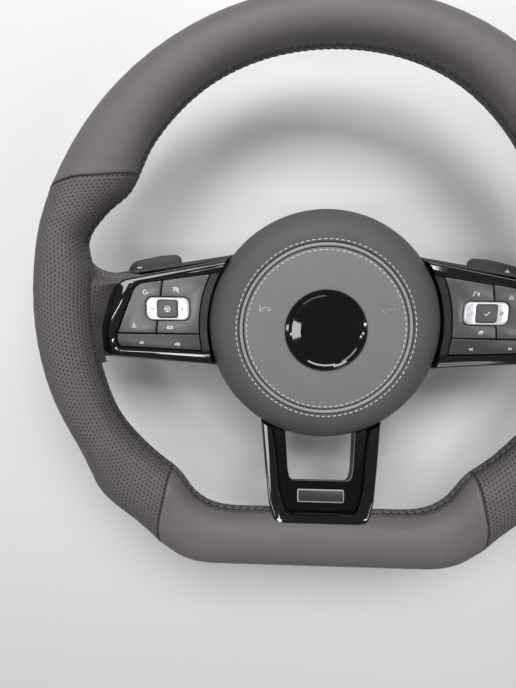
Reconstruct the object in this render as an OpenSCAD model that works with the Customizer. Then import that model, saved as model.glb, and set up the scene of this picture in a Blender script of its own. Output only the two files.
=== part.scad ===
// Leather steering wheel with a flat bottom, switch pads, shift paddles and an airbag that sounds the horn.
// It lies face up: +Z points to the driver, +Y to 12 o'clock, and the origin is at the rear mouth of the
// steel hub, on the axis of the steering shaft. All sizes are in millimetres.

/* [Rim] */
// Height of the rim's middle plane above the mouth of the hub
rim_z = 60; // [56:1:64]
// Reach of the rim from its axis at 12 o'clock
rim_reach = 185; // [181:0.5:189]
// Half the width of the rim's section at 12 o'clock
rim_half_w = 14.5; // [13.5:0.25:16]
// Half the depth of the rim's section, front to back
rim_half_h = 17; // [16:0.25:18]
// How much shorter the rim's reach is at the flat bottom than at 12 o'clock
flat_cut = 16.5; // [14:0.5:20]
// Half the width of the rim's section at 6 o'clock
flat_half_w = 18.8; // [17.5:0.1:20]
// Thickness of the leather
leather_t = 1.3; // [1:0.1:1.6]
// Gap between two leather panels at a seam
seam_gap = 0.4; // [0.2:0.1:0.8]

/* [Casting] */
// Half the width of the cast rim inside the foam
core_half_w = 6.5; // [5.5:0.25:7]
// Half the height of the cast rim inside the foam
core_half_h = 6; // [5:0.25:6.5]
// Thickness of the cast hub plate
plate_t = 6; // [5:0.25:7]
// Width of a cast side spoke
arm_w = 26; // [20:1:30]
// Width of a cast lower leg
leg_w = 6; // [5:0.1:6.2]

/* [Steering shaft seat] */
// Radius of the plain mouth that centres the shaft
pilot_r = 10; // [9:0.25:11]
// Depth of the plain mouth
pilot_depth = 6; // [4:0.5:8]
// Outer radius of the steel hub
hub_r = 17; // [15.5:0.25:18.5]
// Length of the steel hub
hub_len = 19; // [17:0.5:20]

/* [Airbag cover] */
// Outer radius of the cover
cover_r = 76; // [74:0.25:77.5]
// Distance of the cover's centre below the wheel's axis
cover_drop = 8.75; // [8:0.25:9.5]
// Wall of the cover
cover_wall = 3; // [2.5:0.1:3.4]
// Height of the flat middle of the cover
cover_top = 56.4; // [55.5:0.1:57.5]
// Height of the cover's lower edge
cover_edge = 37.2; // [36.8:0.1:38.5]
// Radius of the stitched leather disc
disc_r = 52.5; // [50:0.25:54]
// Radius of the round emblem's rim
emblem_r = 26.2; // [24:0.1:28]
// Travel of the airbag module when the horn is pressed
horn_travel = 2.5; // [1.5:0.1:2.6]

/* [Spokes] */
// Height of the front edge of the spoke bezels
bezel_top = 51.5; // [50.8:0.1:52.5]
// Height of the tops of the large keys
key_top = 49.5; // [49:0.1:50]
// Gap between a key and what surrounds it
key_gap = 0.7; // [0.6:0.05:0.9]
// Gap that rigid neighbours keep from each other
clear = 0.3; // [0.25:0.05:0.4]
// Wall of the rear cover and of the lower rear trim
shell_wall = 2; // [1.6:0.1:2.4]
// Height of the rear face of the side spokes
wing_z = 27; // [26.5:0.1:27.2]

/* [Rear cover] */
// Radius of the collar that hides the steering column
collar_r = 50; // [47:0.5:51]
// Length of the collar below the mouth of the hub
collar_len = 14; // [8:1:20]

/* [Lower spoke] */
// Slope of the lower spoke
spoke_tilt = 22.5; // [21:0.5:24]
// Height of the trim's front face at its hub end
trim_top = 48; // [47:0.25:49]

/* [Paddles] */
// Thickness of a paddle's blade
blade_t = 3; // [2.5:0.1:3.2]
// Height of the front of a paddle's blade
blade_top = 21.5; // [20.5:0.1:22]
// Radius of the paddle's hinge pin
pin_r = 1.5; // [1.2:0.1:1.8]

/* [Hidden] */
$fn = 96;
eps = 0.01;

// Vertices, insets and lofts

// One corner of an outline: the vertex b between a and c, rounded with radius r in steps of about 12 degrees
function corner_arc(a, b, c, r) =
    let (u = (a - b) / norm(a - b), v = (c - b) / norm(c - b), half = acos(u * v) / 2,
         run = r / tan(half), mid = (u + v) / norm(u + v), o = b + mid * (r / sin(half)),
         p = b + u * run - o, q = b + v * run - o, a0 = atan2(p[1], p[0]),
         turn = atan2(p[0] * q[1] - p[1] * q[0], p * q), n = max(2, ceil(abs(turn) / 12)))
    r <= 0 ? [b] : [for (i = [0:n]) o + r * [cos(a0 + turn * i / n), sin(a0 + turn * i / n)]];

// A closed outline from vertices [x, y, radius]
function rounded(v) =
    let (n = len(v))
    [for (i = [0:n - 1]) each corner_arc([v[(i + n - 1) % n][0], v[(i + n - 1) % n][1]], [v[i][0], v[i][1]],
        [v[(i + 1) % n][0], v[(i + 1) % n][1]], v[i][2])];

// The same vertices moved inwards by d, for an outline that runs clockwise
function inset(v, d) =
    let (n = len(v))
    [for (i = [0:n - 1])
        let (a = v[(i + n - 1) % n], b = v[i], c = v[(i + 1) % n],
             u = [b[0] - a[0], b[1] - a[1]], w = [c[0] - b[0], c[1] - b[1]],
             nu = [u[1], -u[0]] / norm(u), nw = [w[1], -w[0]] / norm(w), k = 1 + nu * nw)
        [b[0] + d * (nu[0] + nw[0]) / k, b[1] + d * (nu[1] + nw[1]) / k, b[2] == 0 ? 0 : max(0.1, b[2] - d)]];

// The middle of an outline's box
function middle(p) =
    [(min([for (q = p) q[0]]) + max([for (q = p) q[0]])) / 2,
     (min([for (q = p) q[1]]) + max([for (q = p) q[1]])) / 2];

// A solid through outlines of equal length, each with its height: rings = [[points, z], ...], clockwise
module loft(rings) {
    n = len(rings[0][0]);
    m = len(rings);
    low = middle(rings[0][0]);
    high = middle(rings[m - 1][0]);
    points = concat([for (r = rings) each [for (p = r[0]) [p[0], p[1], r[1]]]],
        [[low[0], low[1], rings[0][1]], [high[0], high[1], rings[m - 1][1]]]);
    faces = concat(
        [for (k = [0:m - 2]) each [for (i = [0:n - 1]) each
            let (a = k * n + i, b = k * n + (i + 1) % n, c = a + n, d = b + n) [[a, b, d], [a, d, c]]]],
        [for (i = [0:n - 1]) [m * n, (i + 1) % n, i]],
        [for (i = [0:n - 1]) [m * n + 1, (m - 1) * n + i, (m - 1) * n + (i + 1) % n]]);
    polyhedron(points, faces);
}

// The rim

// Reach of the rim's outside and inside by the angle from 12 o'clock, before the bottom is cut flat.
// The grips are slim beside the spokes, and swell at the thumb rests and under the palms.
flat_reach = rim_reach - flat_cut;
outer_stations = [[0, rim_reach], [70, rim_reach], [86, rim_reach - 1], [106, rim_reach - 1.7],
    [118, rim_reach - 3], [123, rim_reach - 1], [129, rim_reach + 3], [139, rim_reach + 0.7],
    [149, rim_reach + 3.5], [180, rim_reach + 4]];
rim_inside = rim_reach - 2 * rim_half_w;
inner_stations = [[0, rim_inside], [25, rim_inside - 1], [45, rim_inside - 7], [58, rim_inside - 12.8],
    [66, rim_inside - 5], [73, rim_inside], [80, rim_inside - 6.5], [86, rim_inside - 7],
    [106, rim_inside - 7], [116, rim_inside - 6.7], [128, rim_inside - 11], [138, rim_inside - 13.7],
    [146, rim_inside - 8.5], [180, rim_inside - 8]];
section_power = 2.2;
flat_blend = 7;

function knot_slope(t, i) =
    i <= 0 || i >= len(t) - 1 ? 0 : (t[i + 1][1] - t[i - 1][1]) / (t[i + 1][0] - t[i - 1][0]);
function smooth_curve(t, x) =
    let (i = max([for (k = [0:len(t) - 2]) if (x >= t[k][0]) k]), h = t[i + 1][0] - t[i][0],
         s = (x - t[i][0]) / h)
    t[i][1] * (2 * s ^ 3 - 3 * s ^ 2 + 1) + t[i + 1][1] * (3 * s ^ 2 - 2 * s ^ 3)
    + h * knot_slope(t, i) * (s ^ 3 - 2 * s ^ 2 + s) + h * knot_slope(t, i + 1) * (s ^ 3 - s ^ 2);
function soft_min(a, b, k) =
    let (h = max(0, min(1, 0.5 + 0.5 * (b - a) / k))) b * (1 - h) + a * h - k * h * (1 - h);
function fold(phi) = let (a = abs((phi + 180) % 360 - 180)) a > 180 ? 360 - a : a;
function flat_limit(a, y) = a < 95 ? 10 * y : y / -cos(a);
function rim_out(phi) =
    let (a = fold(phi)) soft_min(smooth_curve(outer_stations, a), flat_limit(a, flat_reach), flat_blend);
function rim_in(phi) =
    let (a = fold(phi))
    soft_min(smooth_curve(inner_stations, a), flat_limit(a, flat_reach - 2 * flat_half_w), flat_blend);

// A signed power keeps the section an oval that is a little fuller than an ellipse
function oval(v) = sign(v) * abs(v) ^ (2 / section_power);
function at_angle(phi, r, z) = [-r * sin(phi), r * cos(phi), z];

// A point of the rim's skin, d under the surface. psi is 0 outside, 90 in front, 180 inside, 270 behind.
function skin_point(phi, psi, d) =
    let (o = rim_out(phi), i = rim_in(phi))
    at_angle(phi, (o + i) / 2 + ((o - i) / 2 - d) * oval(cos(psi)),
        rim_z + (rim_half_h - d) * oval(sin(psi)));

// The cast rim: a circle, two corner arcs and a straight bottom
core_r = rim_reach - 16;
core_flat = flat_reach - flat_half_w;
core_corner = 40;
core_corner_x = sqrt((core_r - core_corner) ^ 2 - (core_flat - core_corner) ^ 2);
core_turn = atan2(core_corner_x, core_flat - core_corner);
function core_path(phi) =
    let (a = fold(phi), s = sin(a), c = -cos(a), along = core_corner_x * s + (core_flat - core_corner) * c)
    a <= 180 - core_turn ? core_r
    : core_flat * tan(180 - a) <= core_corner_x ? core_flat / c
    : along + sqrt(max(0, core_corner ^ 2 - (core_r - core_corner) ^ 2 + along ^ 2));

// A point of the channel in the foam, round the cast rim
channel_gap = 0.5;
channel_fill = 1.2;
function boxy(v) = sign(v) * abs(v) ^ 0.5;
function channel_point(phi, psi) =
    let (a = fold(phi), lean = a > 150 ? 1 / cos(180 - a) : 1)
    at_angle(phi, core_path(phi) + (core_half_w + channel_gap) * lean * channel_fill * boxy(cos(psi)),
        rim_z + (core_half_h + channel_gap) * channel_fill * boxy(sin(psi)));

// The leather and the foam are open along a line inside the rim, where the leather's edges are sewn.
// At each spoke this slit widens to the rear to let the casting in.
slit_half = 2;
slit_fade = 3;
side_slit = 73;
lower_slit = 52;
function band(a, lo, hi) = max(0, min(1, (a - lo) / slit_fade + 1, (hi - a) / slit_fade + 1));
side_span = [83, 98];
lower_span = [166, 180];
function slit_end(phi) =
    let (a = fold(phi)) 180 + slit_half + side_slit * band(a, side_span[0], side_span[1])
    + lower_slit * band(a, lower_span[0], lower_span[1] + 5);

// The seams run aslant: a ring at angle phi turns its outside onwards by slant_at(phi), and its inside back
seam_upper = 60;
seam_lower = 140.6;
slant_upper = 6;
slant_lower = 4.8;
seam_half = seam_gap / 2 / rim_reach * 180 / PI;
function slant_at(phi) =
    let (a = fold(phi), side = (phi + 360) % 360 > 180 ? -1 : 1)
    side * (a < seam_upper ? slant_upper * a / seam_upper
        : a > seam_lower ? slant_lower * (180 - a) / (180 - seam_lower)
        : slant_upper + (slant_lower - slant_upper) * (a - seam_upper) / (seam_lower - seam_upper));

// A wrapped skin between depths d_out and d_in. Each ring is the outer face and back along the inner face.
// Its points are evenly spread, and only those that a widened slit would pass are pushed along with its edge.
ring_steps = 14;
edge_step = 0.5;
function slit_angle(phi, j) =
    max(slit_end(phi) - 360 + edge_step * j, slit_half - 180 + (360 - 2 * slit_half) * j / ring_steps);
function skin_row(phi, d) =
    [for (j = [0:ring_steps])
        let (psi = slit_angle(phi, j)) skin_point(phi + slant_at(phi) * cos(psi), psi, d)];
function channel_row(phi) =
    [for (j = [0:ring_steps])
        let (psi = slit_angle(phi, j)) channel_point(phi + slant_at(phi) * cos(psi), psi)];
function reversed(v) = [for (i = [len(v) - 1:-1:0]) v[i]];
// On the way back the quads are split along their other diagonal, so that leather and foam bend alike
function tube_faces(m, k, closed) =
    [for (i = [0:m - (closed ? 1 : 2)]) each [for (j = [0:k - 1]) each
        let (l = (j + 1) % k, q = (i + 1) % m, a = i * k + j, b = i * k + l, c = q * k + j, d = q * k + l)
        j < k / 2 ? [[a, b, d], [a, d, c]] : [[a, b, c], [b, d, c]]]];

module leather_panel(angles) {
    m = len(angles);
    n = ring_steps;
    k = 2 * (n + 1);
    e = (m - 1) * k;
    faces = concat(tube_faces(m, k, false),
        [for (j = [0:n - 1]) each [[j, k - 2 - j, j + 1], [j, k - 1 - j, k - 2 - j]]],
        [for (j = [0:n - 1]) each
            [[e + j, e + j + 1, e + k - 2 - j], [e + j, e + k - 2 - j, e + k - 1 - j]]]);
    polyhedron([for (phi = angles) each concat(skin_row(phi, 0), reversed(skin_row(phi, leather_t)))], faces);
}

// The foam is a closed ring: its outer face under the leather, and back along the channel round the cast rim
foam_gap = 0.25;
top_half = [for (i = [0:7]) i * seam_upper / 8];
grip_angles = [65, 70, 75, 80, 81.5, 83, 87, 93, 98, 99.5, 101, 105, 110, 115, 119, 123, 127, 131, 136];
bottom_angles = [144, 148, 152, 156, 160, 163, 164.5, 166, 173];
half_ring = concat(top_half, [seam_upper], grip_angles, [seam_lower], bottom_angles);
module rim_foam() {
    angles = concat(half_ring, [180], [for (i = [len(half_ring) - 1:-1:1]) 360 - half_ring[i]]);
    color("#3a3a3a") polyhedron(
        [for (phi = angles) each concat(skin_row(phi, leather_t + foam_gap), reversed(channel_row(phi)))],
        tube_faces(len(angles), 2 * (ring_steps + 1), true));
}
module leather_top() {
    edge = seam_upper - seam_half;
    half = concat([for (i = [7:-1:1]) -top_half[i]], top_half);
    color("#5c5a59") leather_panel(concat([-edge], half, [edge]));
}
grip_rings = concat([seam_upper + seam_half], grip_angles, [seam_lower - seam_half]);
module leather_grip_left() {
    color("#454443") leather_panel(grip_rings);
}
module leather_grip_right() {
    color("#454443") leather_panel([for (i = [len(grip_rings) - 1:-1:0]) 360 - grip_rings[i]]);
}
module leather_bottom() {
    half = concat([seam_lower + seam_half], bottom_angles);
    color("#5c5a59") leather_panel(concat(half, [180], [for (i = [len(half) - 1:-1:0]) 360 - half[i]]));
}

// The space that the rim takes at a side spoke, as a ring, and at the bottom, as a bar, both with clearance
side_out = rim_out(92);
side_in = rim_in(92);
function oval_outline(c, w, h) =
    [for (i = [0:31]) [c + w * oval(cos(i * 11.25)), h * oval(sin(i * 11.25))]];
module rim_space_side() {
    translate([0, 0, rim_z]) rotate([0, 0, -22]) rotate_extrude(angle = 44)
        polygon(oval_outline((side_out + side_in) / 2, (side_out - side_in) / 2 + clear, rim_half_h + clear));
}
module rim_space_bottom() {
    translate([-90, 0, rim_z]) rotate([90, 0, 90]) linear_extrude(180)
        polygon(oval_outline(-core_flat, flat_half_w + clear, rim_half_h + clear));
}

// The casting

plate_z = 6;
plate_r = 57;
boss_r = 26;
boss_z = 0.5;
boss_top = 17;
cast_fit = 0.05;
arm_z = wing_z + shell_wall + clear + 0.1;
arm_top = 34;
pin_ring_r = 44;
arm_root = pin_ring_r + 7;
pin_angles = [90, 210, 330];
guide_r = 3;
screw_ring_r = 59.5;
screw_angles = [45, 135, 225, 315];
screw_r = 1.5;
screw_boss_r = 4.2;

module at_cover() {
    translate([0, -cover_drop, 0]) children();
}
module around(r, angles) {
    for (a = angles) translate([r * cos(a), r * sin(a), 0]) children();
}

// A trough open to the rear, its faces d under the nominal ones
core_wall = 3;
core_floor = 2.5;
function core_section(d) =
    let (w = core_half_w, h = core_half_h)
    [[-w + d, d - h], [core_wall - w - d, d - h], [core_wall - w - d, core_floor + d],
        [w - core_wall + d, core_floor + d], [w - core_wall + d, d - h], [w - d, d - h],
        [w - d, h - d], [d - w, h - d]];
module core_arc(r, from, sweep, d) {
    rotate([0, 0, from]) rotate_extrude(angle = sweep) translate([r, 0]) polygon(core_section(d));
}
// The corner arcs are a hair slimmer and reach a little into their neighbours, so that all fuse cleanly
corner_slim = 0.05;
corner_lap = 0.4;
module core_ring() {
    translate([0, 0, rim_z]) {
        core_arc(core_r, core_turn - 90, 360 - 2 * core_turn, 0);
        for (s = [-1, 1]) translate([s * core_corner_x, core_corner - core_flat])
            core_arc(core_corner, (s > 0 ? -90 : -90 - core_turn) - corner_lap,
                core_turn + 2 * corner_lap, corner_slim);
        translate([-core_corner_x, -core_flat, 0]) rotate([90, 0, 90])
            linear_extrude(2 * core_corner_x) polygon(core_section(0));
    }
}

// A cast side spoke, and with d > 0 the room that its lower side needs
module side_arm(d = 0) {
    tip = core_r - core_half_w;
    rotate([90, 0, 0]) linear_extrude(arm_w + 2 * d, center = true)
        polygon([[arm_root - 5, plate_z], [arm_root + 6, plate_z], [arm_root + 12, arm_z - d],
            [tip - 18, arm_z - d],
            [tip - 1.5, rim_z - 14 - d], [tip, rim_z - 5], [tip + 2.5, rim_z - 5], [tip + 2.5, rim_z - 0.5],
            [tip - 1.2, rim_z - 0.5], [tip - 4.5, rim_z - 4], [tip - 17.5, arm_top], [arm_root + 8, arm_top],
            [arm_root, plate_z + plate_t], [arm_root - 5, plate_z + plate_t]]);
}
module arm_channel() {
    translate([arm_root + 16, -arm_w / 2 + 5, arm_z - eps]) cube([78, arm_w - 10, 3]);
}

// The lower spoke slopes: x across, -d towards the rim and n in front of the trim's face
trim_y = -78;
module on_lower_spoke() {
    translate([0, trim_y, trim_top]) rotate([-spoke_tilt, 0, 0]) children();
}
function slope_point(d, n) =
    [trim_y - d * cos(spoke_tilt) + n * sin(spoke_tilt),
        trim_top + d * sin(spoke_tilt) + n * cos(spoke_tilt)];
// How far down the slope a point n in front of it reaches the line y
function run_to(y, n) = (trim_y - y + n * sin(spoke_tilt)) / cos(spoke_tilt);
leg_front = -14;
leg_back = -21;
leg_x = 27.4;
leg_lean = 5.2;
leg_end = core_half_w - core_flat - 2.5;
module lower_leg() {
    rim_side = slope_point(run_to(leg_end + 6, leg_back), leg_back);
    rim_front = slope_point(run_to(leg_end + 5, leg_front), leg_front);
    translate([leg_x, trim_y, 0]) rotate([0, 0, -leg_lean]) translate([0, -trim_y, 0]) rotate([90, 0, 90])
        linear_extrude(leg_w) polygon([[-50, plate_z + 1], [-59.5, plate_z + 1], [-66.5, 19],
            slope_point(-6, leg_back), rim_side, [leg_end + 2.8, rim_z - 5.5], [leg_end, rim_z - 5.5],
            [leg_end, rim_z - 0.5], rim_front, slope_point(-6, leg_front), [-64, 25],
            [-56, plate_z + plate_t - 1], [-50, plate_z + plate_t - 1]]);
}

module armature() {
    color("#8f9294") difference() {
        union() {
            at_cover() translate([0, 0, plate_z]) cylinder(r = plate_r, h = plate_t);
            translate([0, 0, boss_z]) cylinder(r = boss_r, h = boss_top - boss_z);
            at_cover() around(screw_ring_r, screw_angles) translate([0, 0, floor_t + clear])
                cylinder(r = screw_boss_r, h = plate_z + plate_t - floor_t - clear);
            for (a = [15:50:165]) rotate([0, 0, a]) translate([0, -1.5, plate_z])
                cube([pin_ring_r - 6, 3, plate_t + 4]);
            side_arm();
            mirror([1, 0, 0]) side_arm();
            lower_leg();
            mirror([1, 0, 0]) lower_leg();
            core_ring();
        }
        translate([0, 0, -eps]) cylinder(r = hub_r + cast_fit, h = hub_len + 1);
        at_cover() around(pin_ring_r, pin_angles) translate([0, 0, plate_z - 1])
            cylinder(r = guide_r + 0.4, h = plate_t + 2);
        at_cover() around(screw_ring_r, screw_angles) translate([0, 0, 1]) cylinder(r = screw_r, h = 9);
        for (s = [-1, 1]) translate([s * 36 - 6, -48, plate_z - 1]) cube([12, 16, plate_t + 2]);
        arm_channel();
        mirror([1, 0, 0]) arm_channel();
    }
}

bolt_seat_r = 12.5;
bolt_seat = 5;
spline_r = 9;
spline_depth = 0.6;
spline_teeth = 36;
module hub_insert() {
    color("#a9abad") difference() {
        cylinder(r = hub_r, h = hub_len);
        translate([0, 0, -eps]) cylinder(r = pilot_r, h = pilot_depth + eps);
        translate([0, 0, pilot_depth - 1]) linear_extrude(hub_len)
            polygon([for (i = [0:2 * spline_teeth - 1])
                let (a = i * 180 / spline_teeth, r = spline_r + (i % 2) * spline_depth) r * [cos(a), sin(a)]]);
        translate([0, 0, hub_len - bolt_seat]) cylinder(r = bolt_seat_r, h = bolt_seat + 1);
    }
}

// The rear cover

floor_t = 2.2;
pin_head_r = 5;
pin_head_t = 1.6;
pin_pocket_z = plate_z - 2 * clear - pin_head_t - horn_travel;
bowl_r = 66;
bowl_top_r = 75.2;
bowl_top = 34;
hub_room_r = cover_r + 1;
column_room_r = collar_r - 2.4;

// Outline of a side spoke's bezel, on the driver's right, clockwise as [x, y, corner radius]
bezel_outline = [[50, 37.5, 0], [135.2, 21.2, 14], [147, -10, 18], [146.3, -28.6, 7], [50, -35.8, 0]];
window_outline = [[50, 29.4, 0], [123.4, 19.1, 10], [137.3, -15.5, 9], [136.5, -23.2, 4], [50, -26.4, 0]];
wing_overhang = 1.8;

// Side view of a wing's outer faces: level behind the spoke, then up to the rim
module wing_profile(d) {
    translate([0, 60, 0]) rotate([90, 0, 0]) linear_extrude(120)
        polygon([[52, wing_z + d], [147 - d, wing_z + d], [165 - d, rim_z - 15], [165 - d, 46], [52, 46]]);
}
wing_outline = [for (v = inset(bezel_outline, -wing_overhang)) v[0] > 130 ? [v[0] + 15, v[1], v[2]] : v];
wing_top = 40;
module wing_outer() {
    intersection() {
        translate([0, 0, wing_z - 1]) linear_extrude(wing_top - wing_z + 1) polygon(rounded(wing_outline));
        wing_profile(0);
    }
}
module wing_inner() {
    intersection() {
        translate([0, 0, wing_z - 1]) linear_extrude(20) polygon(rounded(inset(wing_outline, shell_wall)));
        wing_profile(shell_wall);
    }
}

module bowl_solid(d) {
    low = d > 0 ? floor_t : 0;
    high = bowl_top + eps * d;
    rotate_extrude() polygon([[0, low], [bowl_r - d, low], [bowl_top_r - d, high], [0, high]]);
}

module rear_cover() {
    color("#2b2b2c") difference() {
        union() {
            at_cover() bowl_solid(0);
            translate([0, 0, -collar_len]) cylinder(r = collar_r, h = collar_len + 1);
            wing_outer();
            mirror([1, 0, 0]) wing_outer();
        }
        at_cover() bowl_solid(shell_wall + 0.2);
        translate([0, 0, -collar_len - 1]) cylinder(r = column_room_r, h = collar_len + 4);
        wing_inner();
        mirror([1, 0, 0]) wing_inner();
        at_cover() translate([0, 0, bowl_top]) cylinder(r = hub_room_r, h = 20);
        rim_space_side();
        mirror([1, 0, 0]) rim_space_side();
        at_cover() around(screw_ring_r, screw_angles) translate([0, 0, -1])
            cylinder(r = screw_r + 0.2, h = 5);
        at_cover() around(pin_ring_r, pin_angles) translate([0, 0, pin_pocket_z])
            cylinder(r = pin_head_r + 1, h = 5);
        translate([-leg_x - leg_w - 2.5, -100, 18]) cube([2 * (leg_x + leg_w + 2.5), 45, 20]);
        side_arm(clear);
        mirror([1, 0, 0]) side_arm(clear);
    }
}

module cover_screws() {
    color("#55575a") at_cover() around(screw_ring_r, screw_angles) {
        translate([0, 0, -1.8]) cylinder(r = 2.8, h = 1.8);
        translate([0, 0, -eps]) cylinder(r = screw_r - 0.02, h = 9.5);
    }
}

// Side spokes: bezels, switch housings and keys, made on the driver's right and mirrored to the left

bezel_z = wing_top + 0.2;
module bezel() {
    difference() {
        loft([[rounded(bezel_outline), bezel_z], [rounded(bezel_outline), bezel_top - 2.5],
            [rounded(inset(bezel_outline, 0.7)), bezel_top - 0.9],
            [rounded(inset(bezel_outline, 2.2)), bezel_top]]);
        loft([[rounded(window_outline), bezel_z - 1], [rounded(window_outline), bezel_top - 2.4],
            [rounded(inset(window_outline, -1.6)), bezel_top + 0.2]]);
        difference() {
            translate([0, 0, bezel_z - 1]) linear_extrude(bezel_top - bezel_z - 2)
                polygon(rounded(inset(bezel_outline, 2)));
            translate([0, 0, bezel_z - 2]) linear_extrude(20) polygon(rounded(inset(window_outline, -2)));
        }
        at_cover() translate([0, 0, bezel_z - 1]) cylinder(r = hub_room_r, h = 20);
        rim_space_side();
    }
}
module bezel_left() {
    color("#0c0c0d") mirror([1, 0, 0]) bezel();
}
module bezel_right() {
    color("#0c0c0d") bezel();
}

keys_r = 82.3;
divider_top = [105.4, 22];
divider_bottom = [110.4, -14];
bar_line = -13.3;
bar_gap = 1;
rocker_at = [102.3, 2.7];
rocker_size = [28, 14.8];
rocker_corner = 4.2;
button_size = [13, 11.4];
button_corner = 1.6;
button_gap = 0.4;
key_z = 45.2;
rib_top = key_z - clear;
deck_z = 42;
deck_top = 43.5;
housing_z = arm_top + 0.4;
rocker_proud = 0.8;
button_proud = 0.4;
bar_axis_x = 108;

function box_outline(size, r) =
    let (x = size[0] / 2, y = size[1] / 2) [[-x, y, r], [x, y, r], [x, -y, r], [-x, -y, r]];
function grown(size, d) = [size[0] + 2 * d, size[1] + 2 * d];

module key_field() {
    difference() {
        polygon(rounded(inset(window_outline, key_gap)));
        translate([0, -cover_drop]) circle(r = keys_r);
    }
}
module rocker_opening() {
    translate(rocker_at) polygon(rounded(box_outline(grown(rocker_size, key_gap), rocker_corner + key_gap)));
}
module outer_key_shape() {
    difference() {
        intersection() {
            key_field();
            polygon([divider_top + [bar_gap / 2, 0], [150, divider_top[1]], [150, bar_line],
                [divider_bottom[0] + bar_gap / 2, bar_line]]);
        }
        rocker_opening();
    }
}
module inner_key_shape() {
    difference() {
        intersection() {
            key_field();
            polygon([[60, 40], divider_top + [-bar_gap / 2 - 2.5, 18], divider_top - [bar_gap / 2, 0],
                [divider_bottom[0] - bar_gap / 2, bar_line], [60, bar_line]]);
        }
        rocker_opening();
    }
}
module lower_bar_shape() {
    intersection() {
        key_field();
        translate([60, -40]) square([100, 40 + bar_line - bar_gap]);
    }
}

module outer_key() {
    translate([0, 0, key_z]) linear_extrude(key_top - key_z) outer_key_shape();
}
module inner_key() {
    translate([0, 0, key_z]) linear_extrude(key_top - key_z) inner_key_shape();
}
module rocker() {
    top = key_top + rocker_proud;
    translate([rocker_at[0], rocker_at[1], 0]) difference() {
        loft([[rounded(box_outline(rocker_size, rocker_corner)), key_z],
            [rounded(box_outline(rocker_size, rocker_corner)), top - 0.8],
            [rounded(box_outline(grown(rocker_size, -0.8), rocker_corner - 0.8)), top]]);
        translate([0, 0, key_z - 1]) linear_extrude(10)
            polygon(rounded(box_outline(grown(button_size, button_gap), button_corner + button_gap)));
    }
}
module centre_button() {
    top = key_top + rocker_proud + button_proud;
    translate([rocker_at[0], rocker_at[1], 0])
        loft([[rounded(box_outline(button_size, button_corner)), key_z + 1.2],
            [rounded(box_outline(button_size, button_corner)), top - 0.6],
            [rounded(box_outline(grown(button_size, -0.6), button_corner - 0.6)), top]]);
}
module lower_bar() {
    translate([0, 0, key_z]) linear_extrude(key_top - key_z - 0.3) lower_bar_shape();
}

board_t = 1.6;
board_z = housing_z + 2;
// The window's outline with its hub end moved out to x, its corners there dropped by the two steps
function short_window(x, top_step, low_step) =
    [for (v = window_outline) v[0] < 60 ? [x, v[1] - (v[1] > 0 ? top_step : low_step), v[2]] : v];
module switch_housing() {
    wall = 1.6;
    difference() {
        union() {
            difference() {
                translate([0, 0, housing_z]) linear_extrude(deck_top - housing_z)
                    polygon(rounded(inset(window_outline, clear)));
                translate([0, 0, housing_z - 1]) linear_extrude(deck_z - housing_z + 1)
                    polygon(rounded(inset(short_window(81, 4.3, -1.1), clear + wall)));
            }
            for (p = [[88, 15], [88, -17], [120, 9], [128, -17]]) translate([p[0], p[1], board_z + board_t])
                cylinder(r = 2, h = deck_z + 0.5 - board_z - board_t);
            translate([0, 0, deck_z]) linear_extrude(bezel_top - 3.5 - deck_z) difference() {
                intersection() {
                    polygon(rounded(inset(window_outline, clear)));
                    translate([0, -cover_drop]) circle(r = keys_r - key_gap);
                }
                translate([0, -cover_drop]) circle(r = hub_room_r);
            }
            translate([120, rocker_at[1] - 0.6, deck_z]) cube([8, 1.2, rib_top - deck_z]);
            translate([82.6, rocker_at[1] - 0.6, deck_z]) cube([3.4, 1.2, rib_top - deck_z]);
            translate([rocker_at[0] - 0.6, rocker_at[1] - 7, deck_z]) cube([1.2, 14, rib_top - deck_z]);
            translate([bar_axis_x - 0.6, -22, deck_z]) cube([1.2, 6.5, rib_top - deck_z]);
        }
        at_cover() translate([0, 0, housing_z - 1]) cylinder(r = hub_room_r, h = 30);
    }
}
module switch_board() {
    difference() {
        translate([0, 0, board_z]) linear_extrude(board_t)
            polygon(rounded(inset(short_window(82, 4.5, -1.2), clear + 2)));
        for (y = [-12, 12]) translate([100, y, board_z - 1]) cylinder(r = 1.6, h = board_t + 2);
    }
}

// The lower spoke: glossy trim, badge plate and rear trim

// The trim ends short of the middle of the flat rim, and its outlines keep their places along its length
trim_margin = 13;
trim_len = (core_flat + trim_y - trim_margin) / cos(spoke_tilt);
function down(share) = -share * trim_len;
trim_outline = [[-41, 8, 0], [41, 8, 0], [37.6, down(0.38), 60], [34.6, down(0.755), 20], [29.5, down(1), 9],
    [-29.5, down(1), 9], [-34.6, down(0.755), 20], [-37.6, down(0.38), 60]];
ridge_outline = [[-34.2, 12, 0], [34.2, 12, 0], [29.5, down(0.44), 0], [27.4, down(0.677), 8],
    [24, down(0.858), 7], [-24, down(0.858), 7], [-27.4, down(0.677), 8], [-29.5, down(0.44), 0]];
gap_outline = [[-25.5, 20, 0], [25.5, 20, 0], [22.2, down(0.41), 0], [20.5, down(0.532), 4],
    [-20.5, down(0.532), 4], [-22.2, down(0.41), 0]];
trim_depth = 9;
rear_depth = 25;
rear_room_outline = [for (v = trim_outline) v[1] > 0 ? [v[0], 30, 0] : v];

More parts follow.
